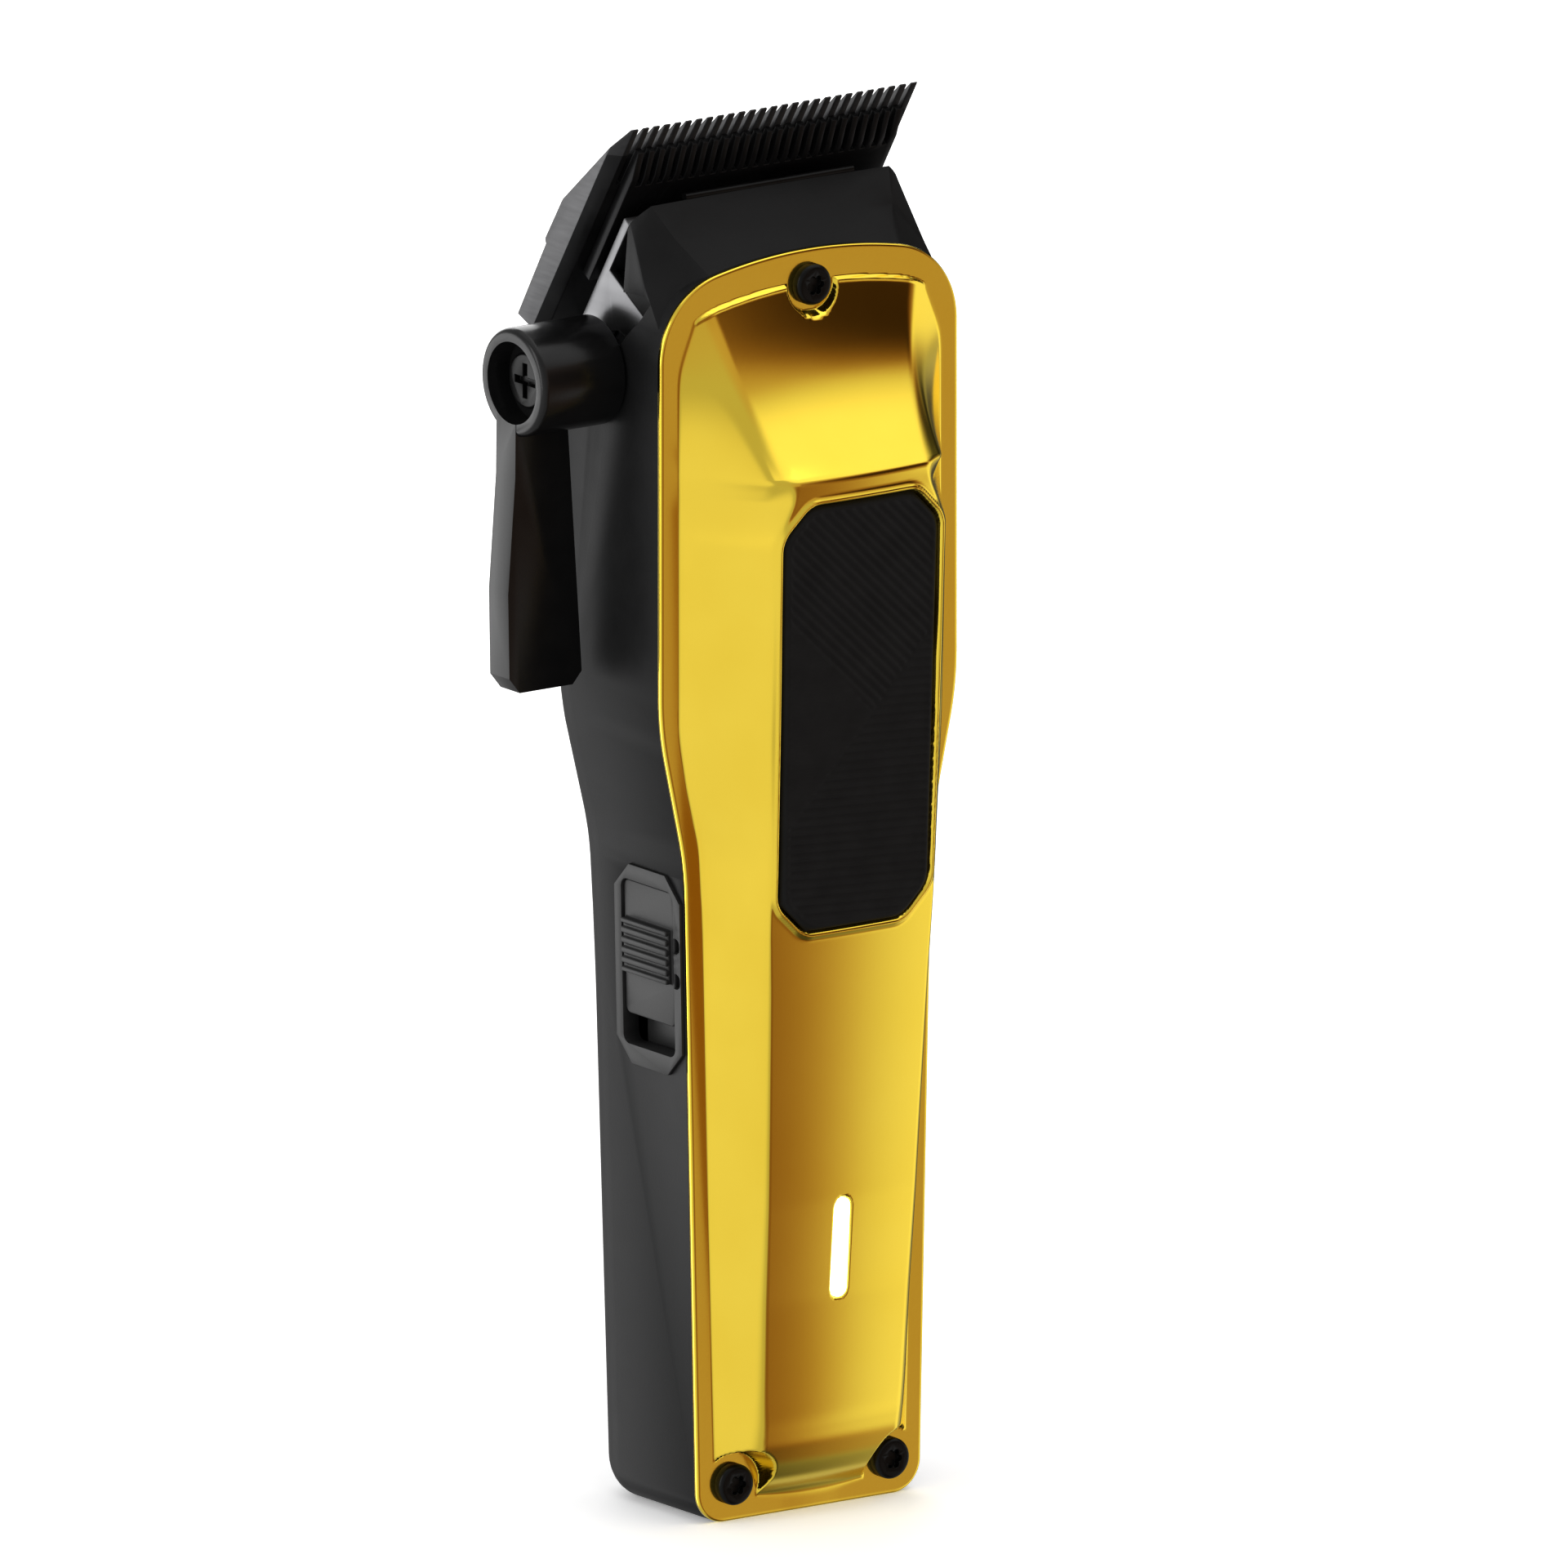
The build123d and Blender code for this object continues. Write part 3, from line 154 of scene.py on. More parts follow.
def add_world():
    """Soft studio surround: a grey room with broad bright and dark areas, warmer where it is dim."""
    world = bpy.data.worlds.new("studio")
    bpy.context.scene.world = world
    world.use_nodes = True
    tree = world.node_tree
    tree.nodes.clear()
    coordinates = tree.nodes.new("ShaderNodeTexCoord").outputs["Generated"]
    total = SURROUND_LEVEL
    for turn, tilt, full, gone, strength in SURROUND:
        lobe = area(tree, coordinates, turn, tilt, full, gone, strength)
        total = combine(tree, "ADD", total, lobe)
    total = combine(tree, "MAXIMUM", total, SURROUND_LEAST)
    dimness = tree.nodes.new("ShaderNodeMapRange")
    dimness.inputs["From Min"].default_value = WARM_LEVELS[0]
    dimness.inputs["From Max"].default_value = WARM_LEVELS[1]
    dimness.inputs["To Min"].default_value = 1.0
    dimness.inputs["To Max"].default_value = 0.0
    tree.links.new(total, dimness.inputs["Value"])
    ahead = area(tree, coordinates, *WARM_AREA, 1.0)
    warmth = combine(tree, "MULTIPLY", dimness.outputs["Result"], ahead)
    tint = tree.nodes.new("ShaderNodeMix")
    tint.data_type = "RGBA"
    tint.inputs["A"].default_value = (1, 1, 1, 1)
    tint.inputs["B"].default_value = (*WARM_TINT, 1)
    tree.links.new(warmth, tint.inputs["Factor"])
    background = tree.nodes.new("ShaderNodeBackground")
    tree.links.new(total, background.inputs["Strength"])
    tree.links.new(tint.outputs["Result"], background.inputs["Color"])
    output = tree.nodes.new("ShaderNodeOutputWorld")
    tree.links.new(background.outputs[0], output.inputs["Surface"])


def add_light(name, place, target, size, power):
    """Soft box aimed at a point."""
    data = bpy.data.lights.new(name, "AREA")
    data.shape = "RECTANGLE"
    data.size = size[0]
    data.size_y = size[1]
    data.energy = power
    light = bpy.data.objects.new(name, data)
    light.location = place
    light.rotation_euler = (Vector(target) - Vector(place)).to_track_quat("-Z", "Y").to_euler()
    bpy.context.collection.objects.link(light)


def add_lights():
    """Soft boxes: one overhead, one at the left and one behind."""
    middle = (0, 0, 0.09)
    add_light("overhead", (0.0, 0.1, 1.1), middle, (1.2, 1.2), 1.6)
    add_light("left_box", (-1.0, 0.1, 0.35), middle, (0.4, 0.9), 2.4)
    add_light("rear_box", (0.5, 1.0, 0.45), middle, (0.8, 0.8), 4.0)


# ---------------------------------------------------------------- materials
def new_material(name):
    """Material with a principled shader; gives the material, its tree and the shader."""
    material = bpy.data.materials.new(name)
    material.use_nodes = True
    tree = material.node_tree
    return material, tree, tree.nodes["Principled BSDF"]


def noise(tree, scale, detail=4.0, stretch=(1, 1, 1)):
    """Noise texture in object coordinates, stretched along the axes."""
    coordinates = tree.nodes.new("ShaderNodeTexCoord")
    mapping = tree.nodes.new("ShaderNodeMapping")
    mapping.inputs["Scale"].default_value = stretch
    tree.links.new(coordinates.outputs["Object"], mapping.inputs["Vector"])
    texture = tree.nodes.new("ShaderNodeTexNoise")
    texture.inputs["Scale"].default_value = scale
    texture.inputs["Detail"].default_value = detail
    tree.links.new(mapping.outputs["Vector"], texture.inputs["Vector"])
    return texture.outputs["Fac"]


def remap(tree, value, low, high):
    """Value from 0 to 1 taken to a range."""
    node = tree.nodes.new("ShaderNodeMapRange")
    node.inputs["To Min"].default_value = low
    node.inputs["To Max"].default_value = high
    tree.links.new(value, node.inputs["Value"])
    return node.outputs["Result"]


def two_tone(tree, value, dark, light):
    """Colour between two tones by a value from 0 to 1."""
    ramp = tree.nodes.new("ShaderNodeValToRGB")
    ramp.color_ramp.elements[0].position = 0.3
    ramp.color_ramp.elements[0].color = (*dark, 1)
    ramp.color_ramp.elements[1].position = 0.7
    ramp.color_ramp.elements[1].color = (*light, 1)
    tree.links.new(value, ramp.inputs["Fac"])
    return ramp.outputs["Color"]


def bump(tree, shader, height, strength, distance):
    """Bump from a height value onto the shader."""
    node = tree.nodes.new("ShaderNodeBump")
    node.inputs["Strength"].default_value = strength
    node.inputs["Distance"].default_value = distance
    tree.links.new(height, node.inputs["Height"])
    tree.links.new(node.outputs["Normal"], shader.inputs["Normal"])


GRAIN_DEPTH = 0.00005


def surface(name, dark, light, metallic, rough, grain, relief,
            stretch=(1, 1, 1), spread=300.0, gloss=0.5):
    """Procedural finish: two close tones, uneven roughness and a fine grain."""
    material, tree, shader = new_material(name)
    broad = noise(tree, spread, 3.0, stretch)
    fine = noise(tree, grain, 2.0, stretch)
    tree.links.new(two_tone(tree, broad, dark, light), shader.inputs["Base Color"])
    tree.links.new(remap(tree, broad, *rough), shader.inputs["Roughness"])
    bump(tree, shader, fine, relief, GRAIN_DEPTH)
    shader.inputs["Metallic"].default_value = metallic
    shader.inputs["Specular IOR Level"].default_value = gloss
    return material


def ground_steel_and_tip_glint(material):
    """Bare ground metal on the outer blade's two sides, and a painted highlight at its tips, as a lighter
    metal tone, in place of the coating.
    """
    tree = material.node_tree
    shader = tree.nodes["Principled BSDF"]
    coordinates = tree.nodes.new("ShaderNodeTexCoord")
    split = tree.nodes.new("ShaderNodeSeparateXYZ")
    tree.links.new(coordinates.outputs["Object"], split.inputs[0])
    across = combine(tree, "ABSOLUTE", split.outputs["X"], 0.0)
    outside = combine(tree, "GREATER_THAN", across, BARE_HALF_W)
    facing = tree.nodes.new("ShaderNodeSeparateXYZ")
    tree.links.new(coordinates.outputs["Normal"], facing.inputs[0])
    sideways = combine(tree, "ABSOLUTE", facing.outputs["X"], 0.0)
    square = combine(tree, "GREATER_THAN", sideways, BARE_SQUARE)
    sides = combine(tree, "MULTIPLY", outside, square)
    # Painted highlight: above this height the tips take a share of the lighter metal tone.
    high = combine(tree, "GREATER_THAN", split.outputs["Z"], TIP_GLINT_Z)
    tips = combine(tree, "MULTIPLY", high, TIP_GLINT_SHARE)
    bare_and_glint = combine(tree, "MAXIMUM", sides, tips)
    scratches = noise(tree, 1800, 2.0, (1, 0.12, 1))
    # Lighter metal tone of the bare sides, also used as the painted highlight on the tips.
    ground = two_tone(tree, scratches, BARE_AND_GLINT_TONE, tuple(1.25 * part for part in BARE_AND_GLINT_TONE))
    colour = tree.nodes.new("ShaderNodeMix")
    colour.data_type = "RGBA"
    tree.links.new(bare_and_glint, colour.inputs["Factor"])
    tree.links.new(shader.inputs["Base Color"].links[0].from_socket, colour.inputs["A"])
    tree.links.new(ground, colour.inputs["B"])
    tree.links.new(colour.outputs["Result"], shader.inputs["Base Color"])
    finish = tree.nodes.new("ShaderNodeMix")
    tree.links.new(bare_and_glint, finish.inputs["Factor"])
    tree.links.new(shader.inputs["Roughness"].links[0].from_socket, finish.inputs["A"])
    finish.inputs["B"].default_value = BARE_AND_GLINT_ROUGH
    tree.links.new(finish.outputs["Result"], shader.inputs["Roughness"])


# Name, dark and light tone, metallic, least and most roughness, grain scale, grain strength, and the rest
FINISHES = {
    "gold": (("gold_plating", (0.97, 0.75, 0.115), (1.0, 0.79, 0.135), 1.0, (0.13, 0.17), 1500, 0.02),
             {"spread": 60}),
    "shell": (("black_shell", (0.017, 0.017, 0.0175), (0.021, 0.021, 0.0215), 0.0, (0.42, 0.5), 5200, 0.22),
              {"gloss": 0.3}),
    "lever": (("black_lever", (0.012, 0.012, 0.0125), (0.017, 0.017, 0.0175), 0.0, (0.2, 0.26), 5200, 0.08),
              {"gloss": 0.6}),
    "pad": (("grip_pad", (0.02, 0.021, 0.022), (0.028, 0.029, 0.03), 0.0, (0.5, 0.62), 4200, 0.25),
            {"gloss": 0.3}),
    "trim": (("black_trim", (0.04, 0.04, 0.04), (0.052, 0.052, 0.052), 0.0, (0.38, 0.48), 4200, 0.2), {}),
    "blade": (("blade_coating", (0.013, 0.013, 0.014), (0.022, 0.022, 0.023), 0.35, (0.3, 0.4), 2500, 0.1),
              {"stretch": (0.15, 1, 1)}),
    "outer_blade": (("outer_blade", (0.016, 0.016, 0.017), (0.026, 0.026, 0.027), 0.4, (0.26, 0.36),
                     2500, 0.1), {"stretch": (0.15, 1, 1)}),
    "screw": (("black_oxide", (0.006, 0.006, 0.006), (0.012, 0.012, 0.012), 0.3, (0.24, 0.34), 3000, 0.08),
              {}),
    "steel": (("satin_steel", (0.55, 0.55, 0.56), (0.68, 0.68, 0.69), 1.0, (0.28, 0.38), 2600, 0.08),
              {"stretch": (1, 0.1, 1)}),
    "bracket": (("bracket_steel", (0.2, 0.2, 0.205), (0.26, 0.26, 0.265), 1.0, (0.3, 0.4), 2600, 0.08),
                {"stretch": (1, 0.1, 1)}),
    "cell": (("cell_sleeve", (0.03, 0.1, 0.3), (0.04, 0.13, 0.36), 0.0, (0.25, 0.35), 2000, 0.05), {}),
    "board": (("solder_mask", (0.01, 0.12, 0.04), (0.014, 0.16, 0.055), 0.0, (0.3, 0.4), 2000, 0.08), {}),
    "acetal": (("acetal", (0.72, 0.72, 0.7), (0.8, 0.8, 0.78), 0.0, (0.35, 0.45), 3000, 0.08), {}),
    "brass": (("turned_brass", (0.62, 0.42, 0.17), (0.72, 0.5, 0.22), 1.0, (0.25, 0.35), 2500, 0.08), {}),
}
# Outer blade: half-width beyond which its steel is bare and height above which the tips get a painted
# highlight (metres), how squarely a bare side faces out, how strongly the painted tip highlight shows, and
# the tone and roughness shared by the bare steel and the painted tip highlight
BARE_HALF_W = 0.0229
TIP_GLINT_Z = 0.1768
BARE_SQUARE = 0.93
TIP_GLINT_SHARE = 0.4
BARE_AND_GLINT_TONE = (0.11, 0.11, 0.113)
BARE_AND_GLINT_ROUGH = 0.42
LIGHT_GLOW = 3.0


def light_guide():
    """Milky light guide, lit from within."""
    light, tree, shader = new_material("light_guide")
    milky = noise(tree, 900, 2.0)
    tree.links.new(two_tone(tree, milky, (0.9, 0.92, 0.95), (1, 1, 1)), shader.inputs["Base Color"])
    shader.inputs["Roughness"].default_value = 0.3
    shader.inputs["Emission Color"].default_value = (1, 1, 1, 1)
    shader.inputs["Emission Strength"].default_value = LIGHT_GLOW
    return light


def make_materials():
    """All finishes, by name."""
    finishes = {key: surface(*values, **extra) for key, (values, extra) in FINISHES.items()}
    # Outer blade: bare sides, and a painted highlight on its tips.
    ground_steel_and_tip_glint(finishes["outer_blade"])
    finishes["light"] = light_guide()
    return finishes


NODE_FINISH = {
    "housing": "shell",
    "lid": "gold",
    "thumb_pad": "pad",
    "light_bar": "light",
    "lid_screws": "screw",
    "fixed_blade": "outer_blade",
    "blade_screws": "screw",
    "blade_bracket": "bracket",
    "cutter_blade": "blade",
    "cutter_guide": "acetal",
    "drive_fork": "acetal",
    "tension_spring": "screw",
    "taper_lever": "lever",
    "lever_screw": "screw",
    "lever_shaft": "steel",
    "lever_support": "trim",
    "switch_bezel": "trim",
    "switch_slider": "trim",
    "switch_body": "trim",
    "battery_cell": "cell",
    "battery_contact_foot": "steel",
    "battery_contact_top": "steel",
    "battery_cradle": "trim",
    "circuit_board": "board",
    "board_parts": "trim",
    "status_led": "acetal",
    "charging_socket": "trim",
    "charging_pin": "steel",
    "motor_can": "steel",
    "motor_end_cap": "trim",
    "motor_terminals": "brass",
    "motor_rotor": "steel",
    "eccentric": "brass",
    "drive_pin": "steel",
    "motor_mount": "steel",
    "motor_mount_screws": "steel",
    "motor_damper": "pad",
}


def finish_nodes(finishes):
    """Give every CAD node its finish."""
    for name, finish in NODE_FINISH.items():
        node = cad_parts[name]
        node.data.materials.clear()
        node.data.materials.append(finishes[finish])


# ---------------------------------------------------------------- bevelled pieces
BLADE_LEAN = math.radians(32.2)
TIP_Y = RIM_Y + 7.4
TIP_Z = 180.5
BLADE_HALF_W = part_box("fixed_blade")[1][0] / MM
CHAMFER_W = 1.2
CHAMFER_H = 1.7
TRIM_LENGTH = 1.05


def trim_tip(point):
    """Carry the outer blade's side chamfer on to the tips of its two end teeth."""
    back, up = point.y / MM - TIP_Y, point.z / MM - TIP_Z
    along = back * math.sin(BLADE_LEAN) - up * math.cos(BLADE_LEAN)
    above = back * math.cos(BLADE_LEAN) + up * math.sin(BLADE_LEAN)
    share = min(max(above / CHAMFER_H, 0), 1)
    limit = (BLADE_HALF_W - CHAMFER_W + CHAMFER_W * share) * MM
    if along < TRIM_LENGTH and abs(point.x) > limit:
        point.x = math.copysign(limit, point.x)


FLAT_ANGLE = math.radians(0.6)
EDGE_ANGLE = math.radians(28.0)
MERGE = 2e-6


def bevelled(node, body, finish, width, segments=2, trim=None):
    """Copy of a CAD node's shape with its flat faces joined and its edges rounded; it stands for the node."""
    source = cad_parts[node]
    piece = bpy.data.objects.new(node + "_finished", source.data.copy())
    bpy.context.collection.objects.link(piece)
    mesh = bmesh.new()
    mesh.from_mesh(piece.data)
    for vertex in mesh.verts if trim else ():
        trim(vertex.co)
    bmesh.ops.remove_doubles(mesh, verts=mesh.verts, dist=MERGE)
    bmesh.ops.dissolve_limit(mesh, angle_limit=FLAT_ANGLE, verts=mesh.verts, edges=mesh.edges)
    mesh.to_mesh(piece.data)
    mesh.free()
    piece.data.materials.clear()
    piece.data.materials.append(finish)
    modifier = piece.modifiers.new("rounding", "BEVEL")
    modifier.width = width * MM
    modifier.segments = segments
    modifier.limit_method = "ANGLE"
    modifier.angle_limit = EDGE_ANGLE
    modifier.use_clamp_overlap = True
    modifier.harden_normals = True
    for polygon in piece.data.polygons:
        polygon.use_smooth = True
    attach(piece, body)
    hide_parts(node)
    return piece


# ---------------------------------------------------------------- lid: heights in front of its rim
def smooth_min(a, b, k):
    """Lesser of two fields, rounded where they meet within k."""
    t = np.clip(0.5 + 0.5 * (b - a) / k, 0, 1)
    return b * (1 - t) + a * t - k * t * (1 - t)


def smooth_max(a, b, k):
    """Greater of two fields, rounded where they meet within k."""
    return -smooth_min(-a, -b, k)


def eased(points, at, width):
    """Curve through points, smoothed over a width."""
    places = [p[0] for p in points]
    values = [p[1] for p in points]
    offsets = np.linspace(-1, 1, 13)
    weights = 1 - np.abs(offsets) * 0.999
    total = sum(w * np.interp(at + o * width, places, values) for o, w in zip(offsets, weights))
    return total / weights.sum()


def side_half_width(z, inset):
    """Half-width of the lid's outline on its sides."""
    handle = FOOT_HALF_W + (WAIST_HALF_W - FOOT_HALF_W) * z / WAIST_Z
    flare = WAIST_HALF_W + (SHOULDER - WAIST_HALF_W) * (z - WAIST_Z) / (SHOULDER_Z - WAIST_Z)
    width = smooth_min(smooth_max(handle, flare, 0.753), np.full_like(z, SHOULDER), 0.927) - inset
    crown = CROWN_CENTRE[1]
    high = np.clip(z - crown, 0, CROWN_CORNER_R - inset - 0.01)
    round_top = CROWN_CENTRE[0] + np.sqrt((CROWN_CORNER_R - inset) ** 2 - high ** 2)
    low = np.clip(FOOT_CORNER_R - z, 0, FOOT_CORNER_R - inset - 0.01)
    round_foot = FOOT_CENTRE_X + np.sqrt((FOOT_CORNER_R - inset) ** 2 - low ** 2)
    return np.where(z > crown, round_top, np.where(z < FOOT_CORNER_R, round_foot, width))


CROWN_CENTRE = (
    SHOULDER - CROWN_CORNER_R,
    CROWN_Z - CROWN_ARC_R + math.sqrt((CROWN_ARC_R - CROWN_CORNER_R) ** 2 - (SHOULDER - CROWN_CORNER_R) ** 2),
)
FOOT_CENTRE_X = FOOT_HALF_W + 0.093 - FOOT_CORNER_R
HALF_ROOT = math.sqrt(0.5)


def crown_edge(x, inset):
    """Height of the outline's upper edge."""
    far = np.clip(np.abs(x) - CROWN_CENTRE[0], 0, None)
    corner = CROWN_CENTRE[1] + np.sqrt((CROWN_CORNER_R - inset) ** 2 - far ** 2)
    arc = CROWN_Z - CROWN_ARC_R + np.sqrt((CROWN_ARC_R - inset) ** 2 - x ** 2)
    meet = CROWN_CENTRE[0] * CROWN_ARC_R / (CROWN_ARC_R - CROWN_CORNER_R)
    return np.where(np.abs(x) > meet, corner, arc)


def foot_edge(x, inset):
    """Height of the outline's lower edge."""
    far = np.clip(np.abs(x) - FOOT_CENTRE_X, 0, None)
    return FOOT_CORNER_R - np.sqrt((FOOT_CORNER_R - inset) ** 2 - far ** 2)


def lid_grid(inset):
    """X and Z of a grid that fits the lid's outline."""
    low = FOOT_CORNER_R - (FOOT_CORNER_R - inset) * HALF_ROOT
    high = CROWN_CENTRE[1] + (CROWN_CORNER_R - inset) * HALF_ROOT
    fine_low = np.arange(low, 12.0, 0.22)
    handle = np.arange(12.0, 27.5, 1.0)
    round_light = np.arange(27.5, 43.0, 0.25)
    below_pad = np.arange(43.0, 76.0, 1.0)
    pad_foot = np.arange(76.0, 84.0, 0.3)
    along_pad = np.arange(84.0, 127.0, 1.0)
    upper = np.arange(127.0, 153.0, 0.3)
    fine_high = np.linspace(153.0, high, 44)
    z = np.concatenate([fine_low, handle, round_light, below_pad, pad_foot, along_pad, upper, fine_high])
    s = np.linspace(-1, 1, 241)
    side = np.repeat(z[:, None], len(s), axis=1)
    half = side_half_width(side, inset)
    x = half * s[None, :]
    top_half = side_half_width(np.array([high]), inset)[0]
    foot_half = side_half_width(np.array([low]), inset)[0]
    rise = crown_edge(s * top_half, inset) - high
    drop = foot_edge(s * foot_half, inset) - low
    near_top = np.clip((side - (high - 24)) / 24, 0, 1) ** 1.5
    near_foot = np.clip(1 - (side - low) / 9, 0, 1) ** 1.5
    return x, side + near_top * rise[None, :] + near_foot * drop[None, :]


PLATEAU = [
    (0, 0.0), (2.6, 0.0), (3.6, 0.9), (5.2, 2.7), (7.4, 4.2), (10, 5.05), (13, 5.5), (16.6, 5.7),
    (28.7, 6.4),
    (41.7, 7.46), (51, 8.0), (77.7, 9.55), (85.5, 10.1), (104, 10.9), (127.8, 11.75), (134.0, 12.1),
]
PANEL = [
    (133, 16.5), (135.6, 13.2), (138, 10.7), (141, 8.2), (144.5, 5.8), (148, 3.95), (151, 2.75), (154, 1.8),
    (157, 1.05), (160, 0.4), (165, -0.6),
]
RIDGE = [
    (0, 10.2), (10, 10.4), (16.6, 10.8), (51, 11.7), (77.7, 12.5), (104, 12.8), (129, 12.8), (134.2, 10.2),
    (135.8, 10.0), (147, 13.2), (158.2, 16.4), (165, 18.2),
]
RIM_INNER = [
    (0, 14.7), (9.5, 14.8), (39, 15.6), (77.7, 16.5), (88, 17.1), (96, 19.0), (103, 20.2), (149, 20.2),
    (154, 19.5), (157, 18.2), (160, 16.6),
]
EDGE_SOFTNESS = [(0, 0.6), (12, 1.2), (70, 1.2), (80, 0.6), (130, 0.5), (136, 0.35), (165, 0.3)]


PAD_FOOT_HALF_W = 11.45
PAD_WIDENING = 0.55
PAD_FOOT_LEVEL = 10.0
PAD_RISE = 1.8
PAD_CUT = 4.0


def pad_distance(x, z):
    """Distance outside the thumb pad's outline, negative inside."""
    top, foot = pad_high.z, pad_low.z
    half = PAD_FOOT_HALF_W + PAD_WIDENING * (z - foot) / (top - foot)
    sides = np.abs(x) - half
    ends = np.maximum(z - top, foot - z)
    corners = (sides + ends + PAD_CUT) * HALF_ROOT
    return smooth_max(smooth_max(sides, ends, 0.6), corners, 1.2)


def pad_level(z):
    """Height of the thumb pad's face."""
    return PAD_FOOT_LEVEL + PAD_RISE * (z - pad_low.z) / (pad_high.z - pad_low.z)


PANEL_RIM = 4.1
BAND_FOOT_Z = 134.0
BAND_TOP_Z = 157.0
BAND_W = 3.2
BAND_SLOPE = 0.4
BAND_STEP = 0.4
CROWNING = 0.45
PAD_LIP = 0.45
PAD_POCKET = 1.0
LID_THICK = 1.5
LIGHT_HALF_W = 1.15
FOOT_WELL_R = 4.2
CROWN_WELL_R = 3.7


def lid_height(x, z):
    """Height of the lid's face in front of its rim."""
    plateau = eased(PLATEAU, z, 1.2)
    panel = eased(PANEL, z, 4.0)
    ridge = eased(RIDGE, z, 1.2)
    inner = eased(RIM_INNER, z, 2.4)
    crest = smooth_min(plateau, panel, 0.35)
    crowned = crest - CROWNING * (x / ridge) ** 2
    slope = np.maximum(crest, 0.3) / (inner - ridge)
    sides = (inner - np.abs(x)) * slope
    width = BAND_W * np.clip((BAND_TOP_Z - z) / (BAND_TOP_Z - BAND_FOOT_Z), 0.02, 1)
    band = crest - BAND_STEP - BAND_SLOPE * (np.abs(x) - ridge)
    band_end = np.maximum(crest - BAND_STEP - BAND_SLOPE * width, 0.1)
    steep = (inner - np.abs(x)) * band_end / (inner - ridge - width)
    banded = smooth_min(band, steep, 0.5)
    share = np.clip((z - BAND_FOOT_Z) / 3, 0, 1)
    sides = sides * (1 - share) + banded * share
    soft = np.interp(z, *zip(*EDGE_SOFTNESS))
    height = smooth_min(crowned, sides, soft)
    height = smooth_max(height, np.zeros_like(height), 0.1)
    edge = crown_edge(x, 0.0) - PANEL_RIM - z
    height = smooth_min(height, np.clip(edge, 0, None) * 4, 0.1)
    height = height + 0.12 * np.exp(-((edge - 0.3) / 0.22) ** 2) * (height > 0.05)
    away = pad_distance(x, z)
    height = height + PAD_LIP * np.exp(-((away - 0.6) / 0.32) ** 2)
    pocket = pad_level(z) - PAD_POCKET + np.clip(away - 0.05, 0, None) * 9
    height = smooth_min(height, pocket, 0.12)
    nearest = np.clip(z, light_low.z + LIGHT_HALF_W, light_high.z - LIGHT_HALF_W)
    bar = np.hypot(x, z - nearest) - LIGHT_HALF_W
    height = smooth_min(height, height - 0.9 + np.clip(bar - 0.05, 0, 2) * 6, 0.08)
    for centre_x, centre_z, radius in (
        (-FOOT_SCREW_X, FOOT_SCREW_Z, FOOT_WELL_R),
        (FOOT_SCREW_X, FOOT_SCREW_Z, FOOT_WELL_R),
        (0, CROWN_SCREW_Z, CROWN_WELL_R),
    ):
        away = np.hypot(x - centre_x, z - centre_z) - radius
        height = smooth_min(height, np.clip(away, 0, None) * 6, 0.25)
    return np.maximum(height, 0.0)


def ring(rows, columns):
    """Grid indices round the border, from the lower left corner."""
    low = list(range(columns))
    right = [i * columns + columns - 1 for i in range(1, rows)]
    high = [(rows - 1) * columns + j for j in range(columns - 2, -1, -1)]
    left = [i * columns for i in range(rows - 2, 0, -1)]
    return low + right + high + left


def add_mesh(name, vertices, faces, finish):
    """Smooth-shaded mesh object from millimetre points."""
    data = bpy.data.meshes.new(name)
    data.from_pydata([tuple(v) for v in np.asarray(vertices) * MM], [], faces)
    data.validate()
    for polygon in data.polygons:
        polygon.use_smooth = True
    data.materials.append(finish)
    piece = bpy.data.objects.new(name, data)
    bpy.context.collection.objects.link(piece)
    return piece


def shell_from_grid(name, finish, x, z, height, back, rounding):
    """Closed shell: a front face over a grid, a rounded border, and a back face."""
    rows, columns = x.shape
    front = np.stack([x, RIM_Y - height, z], axis=-1).reshape(-1, 3)
    border = ring(rows, columns)
    edge = front[border]
    tangent = np.roll(edge, -1, axis=0) - np.roll(edge, 1, axis=0)
    outward = np.stack([tangent[:, 2], np.zeros(len(edge)), -tangent[:, 0]], axis=-1)
    outward /= np.linalg.norm(outward, axis=1)[:, None]
    rings = []
    steps = 4
    for step in range(1, steps + 1):
        angle = math.pi / 2 * step / steps
        moved = edge + outward * rounding * math.sin(angle)
        moved[:, 1] += rounding * (1 - math.cos(angle))
        rings.append(moved)
    last = rings[-1].copy()
    last[:, 1] = RIM_Y + FLANGE
    rings.append(last)
    rear = np.stack([x, RIM_Y - back, z], axis=-1).reshape(-1, 3)
    vertices = np.concatenate([front] + rings + [rear])
    count = len(border)
    faces = []
    for i in range(rows - 1):
        for j in range(columns - 1):
            a = i * columns + j
            faces.append((a, a + 1, a + columns + 1, a + columns))
    rear_start = len(front) + count * len(rings)
    for i in range(rows - 1):
        for j in range(columns - 1):
            a = rear_start + i * columns + j
            faces.append((a, a + columns, a + columns + 1, a + 1))
    loops = [border] + [[len(front) + count * k + m for m in range(count)] for k in range(len(rings))]
    loops.append([rear_start + index for index in border])
    for inner, outer in zip(loops, loops[1:]):
        for m in range(count):
            n = (m + 1) % count
            faces.append((inner[m], outer[m], outer[n], inner[n]))
    return add_mesh(name, vertices, faces, finish)


def build_lid(finish):
    """Gold lid: flat rim, sculpted plateau, pockets for the pad, the light and the screws."""
    rounding = 0.3
    x, z = lid_grid(rounding)
    height = lid_height(x, z)
    inner = np.maximum(height - LID_THICK, -FLANGE)
    piece = shell_from_grid("lid_face", finish, x, z, height, inner, rounding)
    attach(piece, "casing")
    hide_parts("lid")


# ---------------------------------------------------------------- thumb pad
LEVEL_PITCH = 1.15
SLANT_PITCH = 1.6
RIB_DEPTH = 0.2
PLAIN_DEPTH = 0.07


